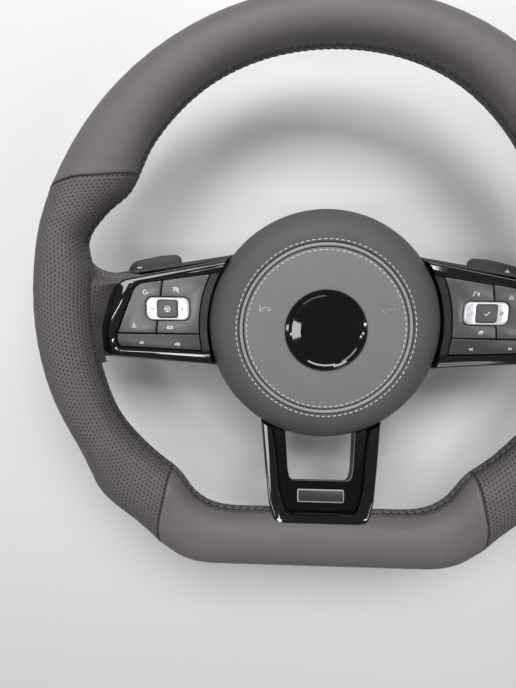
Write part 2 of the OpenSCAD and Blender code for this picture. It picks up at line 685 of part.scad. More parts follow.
module hub_room() {
    at_cover() {
        translate([0, 0, bowl_top]) cylinder(r = hub_room_r, h = 40);
        translate([0, 0, -1]) cylinder(r1 = bowl_r + 0.03, r2 = bowl_top_r + clear, h = bowl_top + 1 + eps);
    }
}
module bottom_trim() {
    color("#0c0c0d") difference() {
        on_lower_spoke() difference() {
            loft([[rounded(trim_outline), -trim_depth], [rounded(trim_outline), -2.6],
                [rounded(inset(trim_outline, 0.8)), -0.9], [rounded(inset(trim_outline, 2.6)), 0]]);
            loft([[rounded(inset(ridge_outline, 1.5)), -5.5], [rounded(ridge_outline), -1],
                [rounded(inset(ridge_outline, -0.8)), 0.2]]);
            translate([0, 0, -trim_depth - 1]) linear_extrude(12) polygon(rounded(gap_outline));
            difference() {
                translate([0, 0, -trim_depth - 1]) linear_extrude(6) polygon(rounded(inset(trim_outline, 2)));
                translate([0, 0, -trim_depth - 2]) linear_extrude(20)
                    polygon(rounded(inset(ridge_outline, -1.5)));
            }
        }
        at_cover() translate([0, 0, 20]) cylinder(r = hub_room_r, h = 60);
        rim_space_bottom();
    }
}
badge_size = [31, 8.4];
module badge_plate() {
    color("#3c3d3f") on_lower_spoke() translate([0, down(0.685), -5.5])
        loft([[rounded(box_outline(badge_size, 1)), 0], [rounded(box_outline(badge_size, 1)), 1.2],
            [rounded(box_outline(grown(badge_size, -0.5), 0.5)), 1.7]]);
}
module lower_rear_trim() {
    color("#202022") difference() {
        on_lower_spoke() difference() {
            loft([[rounded(inset(trim_outline, 3)), -rear_depth], [rounded(trim_outline), -rear_depth + 4],
                [rounded(trim_outline), -trim_depth - 0.2]]);
            difference() {
                translate([0, 0, shell_wall - rear_depth]) linear_extrude(rear_depth)
                    polygon(rounded(inset(rear_room_outline, shell_wall + 1.2)));
                translate([0, 0, -rear_depth - 2]) linear_extrude(40)
                    polygon(rounded(inset(gap_outline, -shell_wall)));
            }
            translate([0, 0, -rear_depth - 1]) linear_extrude(30) polygon(rounded(gap_outline));
        }
        hub_room();
        rim_space_bottom();
    }
}

// The airbag module, which floats on springs and sounds the horn

piping_r = 1.1;
groove_r = disc_r + 0.6 + 2 * piping_r;
ring_r = groove_r + 1.7;
dome_edge = 41;
crown = 1.2;
cap_under = 52.6;
function dome(r, d) =
    let (share = (r - ring_r) / (cover_r - d - ring_r))
    dome_edge + (cover_top - 0.4 - d - dome_edge) * sqrt(max(0, 1 - share ^ 2));
// Radii from ring_r to the cover's side, in steps that follow its curve
function dome_radii(d) = [for (i = [0:10]) ring_r + (cover_r - d - ring_r) * sin(i * 9)];
can_r = 49.3;
can_z = 24;
can_t = 1.4;
can_top = 46;
spring_r = 5.4;
spring_bore = 3.9;
inflator_r = 32;
flange_t = 1.8;
flange_r = pin_ring_r - spring_r - clear;
stud_ring_r = inflator_r + 5;
stud_angles = [45, 135, 225, 315];
stud_r = 2.4;
ear_r = 4.2;

module airbag_cover() {
    color("#4f4e4d") at_cover() difference() {
        union() {
            rotate_extrude() polygon(concat(
                [[0, cover_top - 1.4], [disc_r + 0.3, cover_top - 1.4], [disc_r + 0.3, cover_top - 2.1],
                    [groove_r, cover_top - 2.1], [groove_r + 0.1, cover_top - 0.6]],
                [for (r = dome_radii(0)) [r, dome(r, 0)]],
                [[cover_r, cover_edge], [cover_r - cover_wall, cover_edge]],
                reversed([for (r = dome_radii(cover_wall)) [r, dome(r, cover_wall)]]),
                [[0, cap_under]]));
            difference() {
                translate([0, 0, 30]) cylinder(r = can_r + clear + 2.2, h = cap_under + 0.2 - 30);
                translate([0, 0, 29]) cylinder(r = can_r + clear, h = cap_under - 29);
            }
        }
    }
}
module cover_disc() {
    color("#807f7c") at_cover() rotate_extrude()
        polygon([[0, cover_top - 1.4], [disc_r, cover_top - 1.4], [disc_r, cover_top - 0.5],
            [disc_r - 1.2, cover_top], [disc_r - 12.5, cover_top + 0.4], [0, cover_top + crown]]);
}
module piping() {
    color("#6d6b69") at_cover() translate([0, 0, cover_top - 0.9]) rotate_extrude()
        translate([disc_r + 0.4 + piping_r, 0]) circle(r = piping_r);
}
emblem_z = cover_top + 0.2;
module emblem_ring() {
    color("#1a1a1b") at_cover() rotate_extrude()
        polygon([[emblem_r - 4.4, emblem_z + 1.2], [emblem_r, emblem_z + 0.55], [emblem_r, emblem_z + 1.4],
            [emblem_r - 0.8, emblem_z + 2.6], [emblem_r - 2.4, emblem_z + 2.9],
            [emblem_r - 3.4, emblem_z + 2.2], [emblem_r - 4.4, emblem_z + 1.8]]);
}
module emblem_disc() {
    color("#101011") at_cover() rotate_extrude()
        polygon([[0, emblem_z + 1.05], [emblem_r - 4.6, emblem_z + 1.05], [emblem_r - 4.6, emblem_z + 1.7],
            [emblem_r - 10, emblem_z + 2.4], [0, emblem_z + 2.7]]);
}

module airbag_can() {
    color("#7d8083") at_cover() difference() {
        translate([0, 0, can_z]) cylinder(r = can_r, h = can_top - can_z);
        translate([0, 0, can_z + can_t]) cylinder(r = can_r - can_t, h = can_top);
        translate([0, 0, can_z - 1]) cylinder(r = inflator_r + clear, h = 4);
        around(stud_ring_r, stud_angles) translate([0, 0, can_z - 1]) cylinder(r = stud_r + clear, h = 4);
    }
}
cushion_gap = 0.4;
module airbag_cushion() {
    color("#d8d6cf") at_cover() difference() {
        rotate_extrude() polygon([[0, can_z + can_t], [can_r - can_t - cushion_gap, can_z + can_t],
            [can_r - can_t - cushion_gap, can_top], [can_r - can_t - 5, cap_under - cushion_gap],
            [0, cap_under - cushion_gap]]);
        translate([0, 0, can_z]) cylinder(r = inflator_r + 0.4, h = inflator_top - can_z + cushion_gap);
        around(stud_ring_r, stud_angles) translate([0, 0, can_z]) cylinder(r = 5.4, h = 7.5);
    }
}
inflator_top = 42;
module inflator() {
    color("#b9babb") at_cover() {
        rotate_extrude() polygon([[0, can_z - flange_t], [flange_r, can_z - flange_t],
            [flange_r, can_z - 0.1], [inflator_r, can_z - 0.1], [inflator_r, inflator_top - 4],
            [inflator_r - 4, inflator_top], [0, inflator_top]]);
        around(stud_ring_r, stud_angles) {
            translate([0, 0, can_z - flange_t]) cylinder(r = ear_r, h = flange_t - 0.1);
            translate([0, 0, can_z - 0.2]) cylinder(r = stud_r, h = 6.5);
        }
        for (a = stud_angles) rotate([0, 0, a])
            translate([inflator_r - 6, 0.1 - ear_r, can_z - flange_t + 0.2])
                cube([stud_ring_r - inflator_r + 6, 2 * ear_r - 0.2, flange_t - 0.5]);
    }
}
module inflator_nuts() {
    color("#c9a64a") at_cover() around(stud_ring_r, stud_angles)
        translate([0, 0, can_z + can_t]) difference() {
            cylinder(r = 4.6, h = 4, $fn = 6);
            translate([0, 0, -1]) cylinder(r = stud_r + 0.05, h = 6);
        }
}
module guide_pins() {
    color("#c4c6c8") at_cover() around(pin_ring_r, pin_angles) {
        translate([0, 0, plate_z - clear - pin_head_t]) cylinder(r = pin_head_r, h = pin_head_t);
        translate([0, 0, plate_z - clear - 1]) cylinder(r = guide_r, h = can_z - plate_z + clear + 1);
    }
}
horn_ring_t = 0.8;
spring_z = plate_z + plate_t + horn_ring_t;
wire_r = (spring_r - spring_bore) / 2;
coil_turns = 4.5;
turn_steps = 12;
// A coil of round wire that stands on z = 0 and is h high
module coil(h) {
    m = coil_turns * turn_steps;
    k = 6;
    points = [for (i = [0:m]) each [for (j = [0:k - 1])
        let (a = 360 * i / turn_steps, r = spring_r - wire_r + wire_r * cos(60 * j))
        [r * cos(a), r * sin(a), wire_r + (h - 2 * wire_r) * i / m + wire_r * sin(60 * j)]]];
    faces = concat([for (i = [0:m - 1]) each [for (j = [0:k - 1]) each
        let (l = (j + 1) % k, a = i * k + j, b = i * k + l, c = a + k, d = b + k) [[a, b, d], [a, d, c]]]],
        [for (j = [1:k - 2]) each [[0, j + 1, j], [m * k, m * k + j, m * k + j + 1]]]);
    polyhedron(points, faces);
}
module horn_springs() {
    color("#8a8d90") at_cover() around(pin_ring_r, pin_angles) translate([0, 0, spring_z])
        coil(can_z - spring_z - 0.1);
}
module horn_ring() {
    color("#b58a3c") at_cover() translate([0, 0, plate_z + plate_t]) difference() {
        union() {
            difference() {
                cylinder(r = pin_ring_r + 6.4, h = horn_ring_t);
                translate([0, 0, -1]) cylinder(r = pin_ring_r + 3, h = 3);
            }
            around(pin_ring_r, pin_angles) cylinder(r = spring_r + 0.8, h = horn_ring_t);
        }
        around(pin_ring_r, pin_angles) translate([0, 0, -1]) cylinder(r = guide_r + 0.4, h = 3);
    }
}

// The shift paddles, hinged behind the side spokes

hinge_x = 79;
hinge_z = blade_top - blade_t / 2;
ear_y = 9;
ear_t = 3;
module paddle_bracket() {
    difference() {
        union() {
            translate([hinge_x - 5, -ear_y - ear_t, wing_z - 2.2])
                cube([10, 2 * (ear_y + ear_t), 2.2 - 0.05]);
            for (s = [-1, 1]) translate([hinge_x, s * (ear_y + ear_t / 2) + ear_t / 2, 0])
                rotate([90, 0, 0]) linear_extrude(ear_t)
                    polygon([[-4, wing_z - 1], [-3.4, hinge_z - 1], [-1.6, hinge_z - 3.4],
                        [1.6, hinge_z - 3.4], [3.4, hinge_z - 1], [4, wing_z - 1]]);
        }
        translate([hinge_x, 20, hinge_z]) rotate([90, 0, 0]) cylinder(r = pin_r + 0.02, h = 40);
    }
}
module paddle_pins() {
    color("#b0b2b4") for (s = [-1, 1]) translate([s * hinge_x, ear_y + ear_t, hinge_z]) rotate([90, 0, 0])
        cylinder(r = pin_r, h = 2 * (ear_y + ear_t));
}
paddle_outline = [[hinge_x + 1, 7, 0], [96, 13, 8], [98.5, 37.2, 4.5], [112, 36.2, 20], [133, 31.5, 9],
    [142.5, 6, 12], [140, -12, 8], [96, -12, 12], [hinge_x + 1, -7, 0]];
module paddle() {
    knuckle = 3.2;
    difference() {
        union() {
            translate([0, 0, blade_top - blade_t])
                loft([[rounded(inset(paddle_outline, 0.6)), 0], [rounded(paddle_outline), 0.8],
                    [rounded(paddle_outline), blade_t - 0.8], [rounded(inset(paddle_outline, 0.7)), blade_t]]);
            translate([hinge_x, ear_y - clear, hinge_z]) rotate([90, 0, 0])
                cylinder(r = knuckle, h = 2 * (ear_y - clear));
        }
        translate([hinge_x, 20, hinge_z]) rotate([90, 0, 0]) cylinder(r = pin_r + 0.1, h = 40);
    }
}

module left() {
    mirror([1, 0, 0]) children();
}

armature();
hub_insert();
rim_foam();
leather_top();
leather_grip_left();
leather_grip_right();
leather_bottom();
bezel_left();
bezel_right();
color("#242425") left() switch_housing();  // switch_housing_left
color("#242425") switch_housing();  // switch_housing_right
color("#1f5a3a") left() switch_board();  // switch_board_left
color("#1f5a3a") switch_board();  // switch_board_right
bottom_trim();
badge_plate();
lower_rear_trim();
rear_cover();
cover_screws();
color("#2b2b2c") left() paddle_bracket();  // paddle_bracket_left
color("#2b2b2c") paddle_bracket();  // paddle_bracket_right
paddle_pins();
horn_springs();
horn_ring();
airbag_cover();
cover_disc();
piping();
emblem_ring();
emblem_disc();
airbag_can();
airbag_cushion();
inflator();
inflator_nuts();
guide_pins();
color("#6f6f6d") left() outer_key();  // outer_key_left
color("#6f6f6d") outer_key();  // outer_key_right
color("#6f6f6d") left() inner_key();  // inner_key_left
color("#6f6f6d") inner_key();  // inner_key_right
color("#e8e8ea") left() rocker();  // rocker_left
color("#e8e8ea") rocker();  // rocker_right
color("#4a4a4c") left() centre_button();  // centre_button_left
color("#4a4a4c") centre_button();  // centre_button_right
color("#5d5d5e") left() lower_bar();  // lower_bar_left
color("#5d5d5e") lower_bar();  // lower_bar_right
color("#3d3d40") left() paddle();  // paddle_left
color("#3d3d40") paddle();  // paddle_right
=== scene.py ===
# %% [markdown]
# # A leather steering wheel
# The solids of the wheel come ready made, in metres and in their right places. This lesson dresses them:
# it sews the leather, polishes the black trim, prints the signs on the keys and lights it all.

# %% Load the wheel
import math
import bmesh
import bpy
import numpy as np
from mathutils import Matrix, Vector


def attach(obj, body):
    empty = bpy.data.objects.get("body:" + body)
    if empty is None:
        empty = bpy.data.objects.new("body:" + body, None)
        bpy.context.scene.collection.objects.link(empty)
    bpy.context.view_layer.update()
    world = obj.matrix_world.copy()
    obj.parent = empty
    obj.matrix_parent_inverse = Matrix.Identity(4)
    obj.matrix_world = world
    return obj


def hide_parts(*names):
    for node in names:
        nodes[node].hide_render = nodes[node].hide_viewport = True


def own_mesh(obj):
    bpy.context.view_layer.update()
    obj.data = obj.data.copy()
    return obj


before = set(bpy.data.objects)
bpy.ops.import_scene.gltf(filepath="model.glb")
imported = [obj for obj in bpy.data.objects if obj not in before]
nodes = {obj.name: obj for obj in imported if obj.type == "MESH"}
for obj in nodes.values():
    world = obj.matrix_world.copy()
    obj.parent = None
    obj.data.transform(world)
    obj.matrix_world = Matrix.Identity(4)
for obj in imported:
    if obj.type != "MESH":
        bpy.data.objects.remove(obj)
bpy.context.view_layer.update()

# %% [markdown]
# ## Camera
# The camera looks from above and a little to the left, close to the wheel, so its lens is wide. A camera is
# a place and three directions. The directions are given here as columns of a matrix: right, up and backwards.

# %% Camera
view = bpy.data.cameras.new("camera")
view.lens = 27.18
view.sensor_width = 36
view.clip_start = 0.01
camera = bpy.data.objects.new("camera", view)
bpy.context.scene.collection.objects.link(camera)
RIGHT = Vector((0.99935, 0.01123, -0.03414))
UP = Vector((-0.01735, 0.98265, -0.18465))
EYE = Vector((-0.03256, 0.04343, 0.38383))
turn = Matrix((RIGHT, UP, RIGHT.cross(UP))).transposed()
camera.matrix_world = Matrix.Translation(EYE) @ turn.to_4x4()
bpy.context.scene.camera = camera
bpy.context.scene.view_settings.view_transform = "Standard"
print("camera", round(EYE.z * 1000), "mm above the hub's mouth")

# %% [markdown]
# ## Colours and nodes
# A colour that is read off a screen is an sRGB value. Cycles counts in linear light, so one function turns
# the hex value into linear numbers. A second one adds a node, sets it and links it.

# %% Helpers for materials
def linear(code):
    values = [int(code[i:i + 2], 16) / 255 for i in (1, 3, 5)]
    return [v / 12.92 if v <= 0.04045 else ((v + 0.055) / 1.055) ** 2.4 for v in values] + [1.0]


def add_node(tree, kind, inputs, **settings):
    made = tree.nodes.new("ShaderNode" + kind)
    for name, value in settings.items():
        setattr(made, name, value)
    for name, value in inputs.items():
        if isinstance(value, bpy.types.NodeSocket):
            tree.links.new(value, made.inputs[name])
        else:
            made.inputs[name].default_value = value
    return made


def new_material(name, code, roughness, **sockets):
    made = bpy.data.materials.new(name)
    made.use_nodes = True
    shader = made.node_tree.nodes["Principled BSDF"]
    shader.inputs["Base Color"].default_value = linear(code)
    shader.inputs["Roughness"].default_value = roughness
    for socket, value in sockets.items():
        shader.inputs[socket.replace("_", " ")].default_value = value
    return made, made.node_tree, shader


def per_metre(size_mm):
    return 1000 / size_mm


print("white is", linear("#ffffff"))

# %% [markdown]
# ## Leather
# The rim is wrapped in nappa: cowhide, dyed through and finished with a matt coat. Its grain is a net of
# fine creases about a millimetre apart, so a Voronoi pattern's cell borders press into a bump. Soft blotches
# vary the dye by a few percent, and hands polish it a little here and there.

# %% Leather grain
GRAIN_MM = 1.1
BLOTCH_MM = 28


def leather(name, code, roughness, grain_depth, tone_spread=0.05):
    made, tree, shader = new_material(name, code, roughness, Specular_IOR_Level=0.42)
    place = add_node(tree, "TexCoord", {})
    grain = add_node(tree, "TexVoronoi", {"Vector": place.outputs["Object"], "Scale": per_metre(GRAIN_MM)},
                     feature="DISTANCE_TO_EDGE")
    crease = add_node(tree, "MapRange", {"Value": grain.outputs["Distance"], "From Max": 0.22,
                                         "To Min": 0, "To Max": 1}, interpolation_type="SMOOTHSTEP")
    blotch = add_node(tree, "TexNoise", {"Vector": place.outputs["Object"], "Scale": per_metre(BLOTCH_MM),
                                         "Detail": 4.0})
    tone = add_node(tree, "MapRange", {"Value": blotch.outputs["Fac"], "From Min": 0.3, "From Max": 0.7,
                                       "To Min": 1 - tone_spread, "To Max": 1 + tone_spread})
    dye = add_node(tree, "Mix", {0: 1.0, 6: linear(code), 7: tone.outputs["Result"]},
                   data_type="RGBA", blend_type="MULTIPLY")
    gloss = add_node(tree, "MapRange", {"Value": blotch.outputs["Fac"], "From Min": 0.35, "From Max": 0.65,
                                        "To Min": roughness - 0.04, "To Max": roughness + 0.05})
    bump = add_node(tree, "Bump", {"Height": crease.outputs["Result"], "Strength": 0.5,
                                   "Distance": grain_depth})
    tree.links.new(dye.outputs[2], shader.inputs["Base Color"])
    tree.links.new(gloss.outputs["Result"], shader.inputs["Roughness"])
    tree.links.new(bump.outputs["Normal"], shader.inputs["Normal"])
    return made, tree, shader, dye, bump


NAPPA = "#5e595a"
smooth_nappa = leather("smooth nappa leather", NAPPA, 0.56, 0.00012)[0]
hub_nappa = leather("nappa leather of the hub disc", "#6c6b69", 0.58, 0.00012)[0]
# The ring is a darker grey than the disc: partly its own tone, partly painted shade for its curved flank.
hub_ring_skin_with_painted_shade = leather("grained skin of the hub with painted shade", "#494848", 0.56, 0.00015)[0]
piping_nappa = leather("nappa leather of the piping", "#8a8885", 0.5, 0.0001)[0]
print("four leathers")

# %% [markdown]
# The grips are punched: holes one millimetre wide, a little under three apart, in straight rows. The pattern
# needs to run with the hide, so it uses a UV map that holds millimetres. The map is cut into squares, and
# each hole is where the distance to the middle of a square is less than the hole's radius.

# %% Punched leather
HOLE_PITCH = 2.8
HOLE_RADIUS = 0.5
HOLE_BLUR = 0.12


def punched_leather():
    made, tree, shader, dye, bump = leather("punched nappa leather", "#544f50", 0.58, 0.00012)
    place = add_node(tree, "UVMap", {}, uv_map="hide")
    square = add_node(tree, "VectorMath", {0: place.outputs["UV"], 1: (1 / HOLE_PITCH, 1 / HOLE_PITCH, 1)},
                      operation="MULTIPLY")
    inside = add_node(tree, "VectorMath", {0: square.outputs[0]}, operation="FRACTION")
    centred = add_node(tree, "VectorMath", {0: inside.outputs[0], 1: (0.5, 0.5, 0)}, operation="SUBTRACT")
    flat = add_node(tree, "VectorMath", {0: centred.outputs[0], 1: (1, 1, 0)}, operation="MULTIPLY")
    away = add_node(tree, "VectorMath", {0: flat.outputs[0]}, operation="LENGTH")
    hole = add_node(tree, "MapRange", {"Value": away.outputs["Value"],
                                       "From Min": (HOLE_RADIUS + HOLE_BLUR) / HOLE_PITCH,
                                       "From Max": (HOLE_RADIUS - HOLE_BLUR) / HOLE_PITCH},
                    interpolation_type="SMOOTHSTEP")
    dark = add_node(tree, "Mix", {0: hole.outputs["Result"], 6: dye.outputs[2], 7: linear("#1f1d1c")},
                    data_type="RGBA")
    tree.links.new(dark.outputs[2], shader.inputs["Base Color"])
    dent = add_node(tree, "Bump", {"Height": hole.outputs["Result"], "Strength": 1.0, "Distance": 0.0006,
                                   "Normal": bump.outputs["Normal"]}, invert=True)
    tree.links.new(dent.outputs["Normal"], shader.inputs["Normal"])
    return made


punched_nappa = punched_leather()
print("holes", 2 * HOLE_RADIUS, "mm wide,", HOLE_PITCH, "mm apart")

# %% [markdown]
# ## Plastics, metals and thread
# Piano black is ABS with a clear, hard coat: a black that mirrors lamps as crisp streaks. The keys are
# painted ABS with a satin lacquer. The shells behind are moulded with a fine spark-eroded grain. One function
# makes them all: a fine noise for the surface, and a broad one, like wiped fingers, for the gloss.

# %% Plastics and metals
SMEAR_MM = 22


def moulded(name, code, roughness, grain_mm, grain_depth, **sockets):
    made, tree, shader = new_material(name, code, roughness, **sockets)
    place = add_node(tree, "TexCoord", {})
    grain = add_node(tree, "TexNoise", {"Vector": place.outputs["Object"], "Scale": per_metre(grain_mm),
                                        "Detail": 3.0})
    bump = add_node(tree, "Bump", {"Height": grain.outputs["Fac"], "Strength": 0.6, "Distance": grain_depth})
    tree.links.new(bump.outputs["Normal"], shader.inputs["Normal"])
    smear = add_node(tree, "TexNoise", {"Vector": place.outputs["Object"], "Scale": per_metre(SMEAR_MM),
                                        "Detail": 3.0})
    gloss = add_node(tree, "MapRange", {"Value": smear.outputs["Fac"], "From Min": 0.3, "From Max": 0.7,
                                        "To Min": max(0.02, roughness * 0.88), "To Max": roughness * 1.12})
    tree.links.new(gloss.outputs["Result"], shader.inputs["Roughness"])
    return made


piano_black = moulded("piano black lacquered ABS", "#060607", 0.07, 14, 0.00002, Coat_Weight=1.0,
                      Coat_Roughness=0.03)
# The same moulding as the raised trim; its deeper black is painted shade for the recess.
floor_black_with_painted_shade = moulded("gloss black ABS floor with painted shade", "#030303", 0.1, 9, 0.00002)
satin_keys = moulded("satin lacquered ABS keys", "#636261", 0.34, 0.5, 0.00002, Metallic=0.65)
bar_lacquer = moulded("darker satin lacquered ABS", "#4a494b", 0.34, 0.5, 0.00002, Metallic=0.6)
button_lacquer = moulded("dark satin button", "#4b4b4e", 0.38, 0.5, 0.00002)
bright_plate = moulded("satin bright plated ABS", "#d2d2d5", 0.24, 0.6, 0.00001, Metallic=0.35)
grained_shell = moulded("spark eroded ABS shell", "#2b2b2c", 0.55, 0.6, 0.00008)
dark_housing = moulded("black ABS housing", "#050506", 0.42, 0.6, 0.00004)
paddle_paint = moulded("dark satin paddle", "#313234", 0.34, 0.5, 0.00003)
badge_lacquer = moulded("dark lacquered badge plate", "#3b3c3e", 0.2, 6, 0.00001, Metallic=0.5)
gloss_emblem = moulded("black chrome emblem", "#17181a", 0.07, 12, 0.00001, Metallic=0.7, Coat_Weight=0.6)
cast_aluminium = moulded("sand cast aluminium", "#8f9294", 0.5, 1.2, 0.0002, Metallic=1.0)
turned_steel = moulded("turned steel", "#b4b6b8", 0.28, 0.8, 0.00003, Metallic=1.0)
black_steel = moulded("black zinc plated steel", "#3c3d40", 0.36, 0.8, 0.00003, Metallic=0.9)
yellow_zinc = moulded("yellow zinc plated steel", "#c9a64a", 0.35, 0.8, 0.00003, Metallic=1.0)
circuit_board = moulded("lacquered glass fibre board", "#1f5a3a", 0.4, 1.5, 0.00003)
woven_bag = moulded("folded nylon weave", "#d8d6cf", 0.8, 0.7, 0.0001)
moulded_foam = moulded("skinned polyurethane foam", "#1d1c1c", 0.75, 1.8, 0.0002)
print("plastics and metals done")

# %% [markdown]
# Sewing thread is bonded polyester, black on the rim and light grey on the hub. White signs are printed or
# laser marked, so they are flat paint. Horn signs are thin bright foil.

# %% Thread and print
TWIST_MM = 0.35


def thread(name, code):
    made, tree, shader = new_material(name, code, 0.5, Sheen_Weight=0.3)
    place = add_node(tree, "TexCoord", {})
    twist = add_node(tree, "TexNoise", {"Vector": place.outputs["Object"], "Scale": per_metre(TWIST_MM),
                                        "Detail": 2.0})
    bump = add_node(tree, "Bump", {"Height": twist.outputs["Fac"], "Strength": 0.7, "Distance": 0.0001})
    tree.links.new(bump.outputs["Normal"], shader.inputs["Normal"])
    return made


black_thread = thread("black bonded thread", "#121112")
grey_thread = thread("light grey bonded thread", "#bfbebb")
white_print = moulded("white laser print", "#e6e6e4", 0.5, 2, 0.00001)
grey_print = moulded("grey print on the plated rockers", "#5a5a5d", 0.5, 2, 0.00001)
bright_foil = moulded("bright foil sign", "#c9cacb", 0.3, 2, 0.00001, Metallic=0.8)
print("threads and prints done")

# %% [markdown]
# ## Meshes from numbers
# All shapes below are worked out in millimetres, as on a drawing. One function turns them into an object
# in metres, smooths it, puts it on its body and hides the solids that it stands in for.

# %% Making a piece
SHARP = math.radians(32)


def piece(name, vertices, faces, material, body, replaced=(), hide=None, sharp=SHARP):
    mesh = bpy.data.meshes.new(name)
    mesh.from_pydata((np.asarray(vertices, float) / 1000).tolist(), [], [list(f) for f in faces])
    made = bpy.data.objects.new(name, mesh)
    bpy.context.scene.collection.objects.link(made)
    mesh.materials.append(material)
    if hide is not None:
        uv = mesh.uv_layers.new(name="hide")
        loops = np.empty(len(mesh.loops), int)
        mesh.loops.foreach_get("vertex_index", loops)
        uv.data.foreach_set("uv", np.asarray(hide, float)[loops].ravel())
    mesh.shade_smooth()
    if sharp:
        mesh.set_sharp_from_angle(angle=sharp)
    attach(made, body)
    if replaced:
        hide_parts(*replaced)
    return made


def grid_faces(rows, columns, closed=False, first=0):
    faces = []
    for i in range(rows - 1):
        for j in range(columns if closed else columns - 1):
            a, b = i * columns + j, i * columns + (j + 1) % columns
            faces.append((first + a, first + b, first + b + columns, first + a + columns))
    return faces


print("a 3 by 3 grid has", len(grid_faces(3, 3)), "faces")

# %% [markdown]
# ## The rim
# The rim is a ring with an oval section whose width changes: slim beside the spokes, swollen at the thumb
# rests and the palms, and cut flat below. Its outer and inner reach are curves through a few stations,
# given by the angle from 12 o'clock. These are the same stations as in the solid model.

# %% Rim curves
RIM_Z = 60
REACH = 185
HALF_DEPTH = 17
OUTSIDE = [(0, 185), (70, 185), (86, 184), (106, 183.3), (118, 182), (123, 184), (129, 188), (139, 185.7),
           (149, 188.5), (180, 189)]
INSIDE = [(0, 156), (25, 155), (45, 149), (58, 143.2), (66, 151), (73, 156), (80, 149.5), (86, 149),
          (106, 149), (116, 149.3), (128, 145), (138, 142.3), (146, 147.5), (180, 148)]
FLAT_OUT = 168.5
FLAT_IN = 130.9
FLAT_BLEND = 7


def smooth_curve(stations, x):
    xs, ys = np.array(stations, float).T
    slope = np.zeros(len(xs))
    slope[1:-1] = (ys[2:] - ys[:-2]) / (xs[2:] - xs[:-2])
    i = np.clip(np.searchsorted(xs, x, "right") - 1, 0, len(xs) - 2)
    h = xs[i + 1] - xs[i]
    s = (x - xs[i]) / h
    return (ys[i] * (2 * s**3 - 3 * s**2 + 1) + ys[i + 1] * (3 * s**2 - 2 * s**3)
            + h * slope[i] * (s**3 - 2 * s**2 + s) + h * slope[i + 1] * (s**3 - s**2))


def soft_min(a, b, k):
    h = np.clip(0.5 + 0.5 * (b - a) / k, 0, 1)
    return b * (1 - h) + a * h - k * h * (1 - h)


def fold(phi):
    return np.abs((np.asarray(phi, float) + 180) % 360 - 180)


def flat_limit(a, y):
    return np.where(a < 95, 10 * y, y / -np.minimum(np.cos(np.radians(a)), -0.05))


def rim_reach(phi):
    a = fold(phi)
    out = soft_min(smooth_curve(OUTSIDE, a), flat_limit(a, FLAT_OUT), FLAT_BLEND)
    inn = soft_min(smooth_curve(INSIDE, a), flat_limit(a, FLAT_IN), FLAT_BLEND)
    return out, inn


def oval(v):
    return np.sign(v) * np.abs(v) ** (2 / 2.2)


def skin(phi, psi, depth):
    """Points d under the rim's skin. psi is 0 outside, 90 in front, 180 inside and 270 behind."""
    out, inn = rim_reach(phi)
    c, s = np.cos(np.radians(psi)), np.sin(np.radians(psi))
    r = (out + inn) / 2 + ((out - inn) / 2 - depth) * oval(c)
    z = RIM_Z + (HALF_DEPTH - depth) * oval(s)
    return np.stack([-r * np.sin(np.radians(phi)), r * np.cos(np.radians(phi)), z], -1)


print("rim is", 2 * REACH, "mm across")

# %% [markdown]
# Four panels of leather wrap the ring: top, two grips and bottom. They meet at four slanted seams and are
# sewn together along the inside of the rim. At a seam each edge is folded down, and the stitches pull the
# hide in a little, so it swells just before the fold. A slight unevenness from the hands that wrapped it
# keeps the highlights from being drawn with a ruler.

# %% Leather panels
RIM_MEAN = 167
SEAM_UPPER, SEAM_LOWER = 60, 140.6
SLANT_UPPER, SLANT_LOWER = 6, 4.8
SEAM_GAP = 0.5
FOLD_MM = 1.1
SLIT_HALF = 2.2
STITCH_PITCH = 4.6


def slant(phi):
    a, side = fold(phi), np.where(np.asarray(phi, float) % 360 > 180, -1, 1)
    middle = SLANT_UPPER + (SLANT_LOWER - SLANT_UPPER) * (a - SEAM_UPPER) / (SEAM_LOWER - SEAM_UPPER)
    lower = SLANT_LOWER * (180 - a) / (180 - SEAM_LOWER)
    beside = np.where(a < SEAM_LOWER, middle, lower)
    return side * np.where(a < SEAM_UPPER, SLANT_UPPER * a / SEAM_UPPER, beside)


def eased(values, start, end, ends_step):
    """Samples from start to end, close together at both ends."""
    lead = np.cumsum([0] + ends_step)
    inner = np.linspace(start + lead[-1], end - lead[-1], max(2, int(values)))
    return np.concatenate([start + lead[:-1], inner, (end - lead[:-1])[::-1]])


def fold_down(distance, reach, depth):
    t = np.clip(1 - distance / reach, 0, 1)
    return depth * (1 - np.sqrt(np.clip(1 - t * t, 0, 1)))


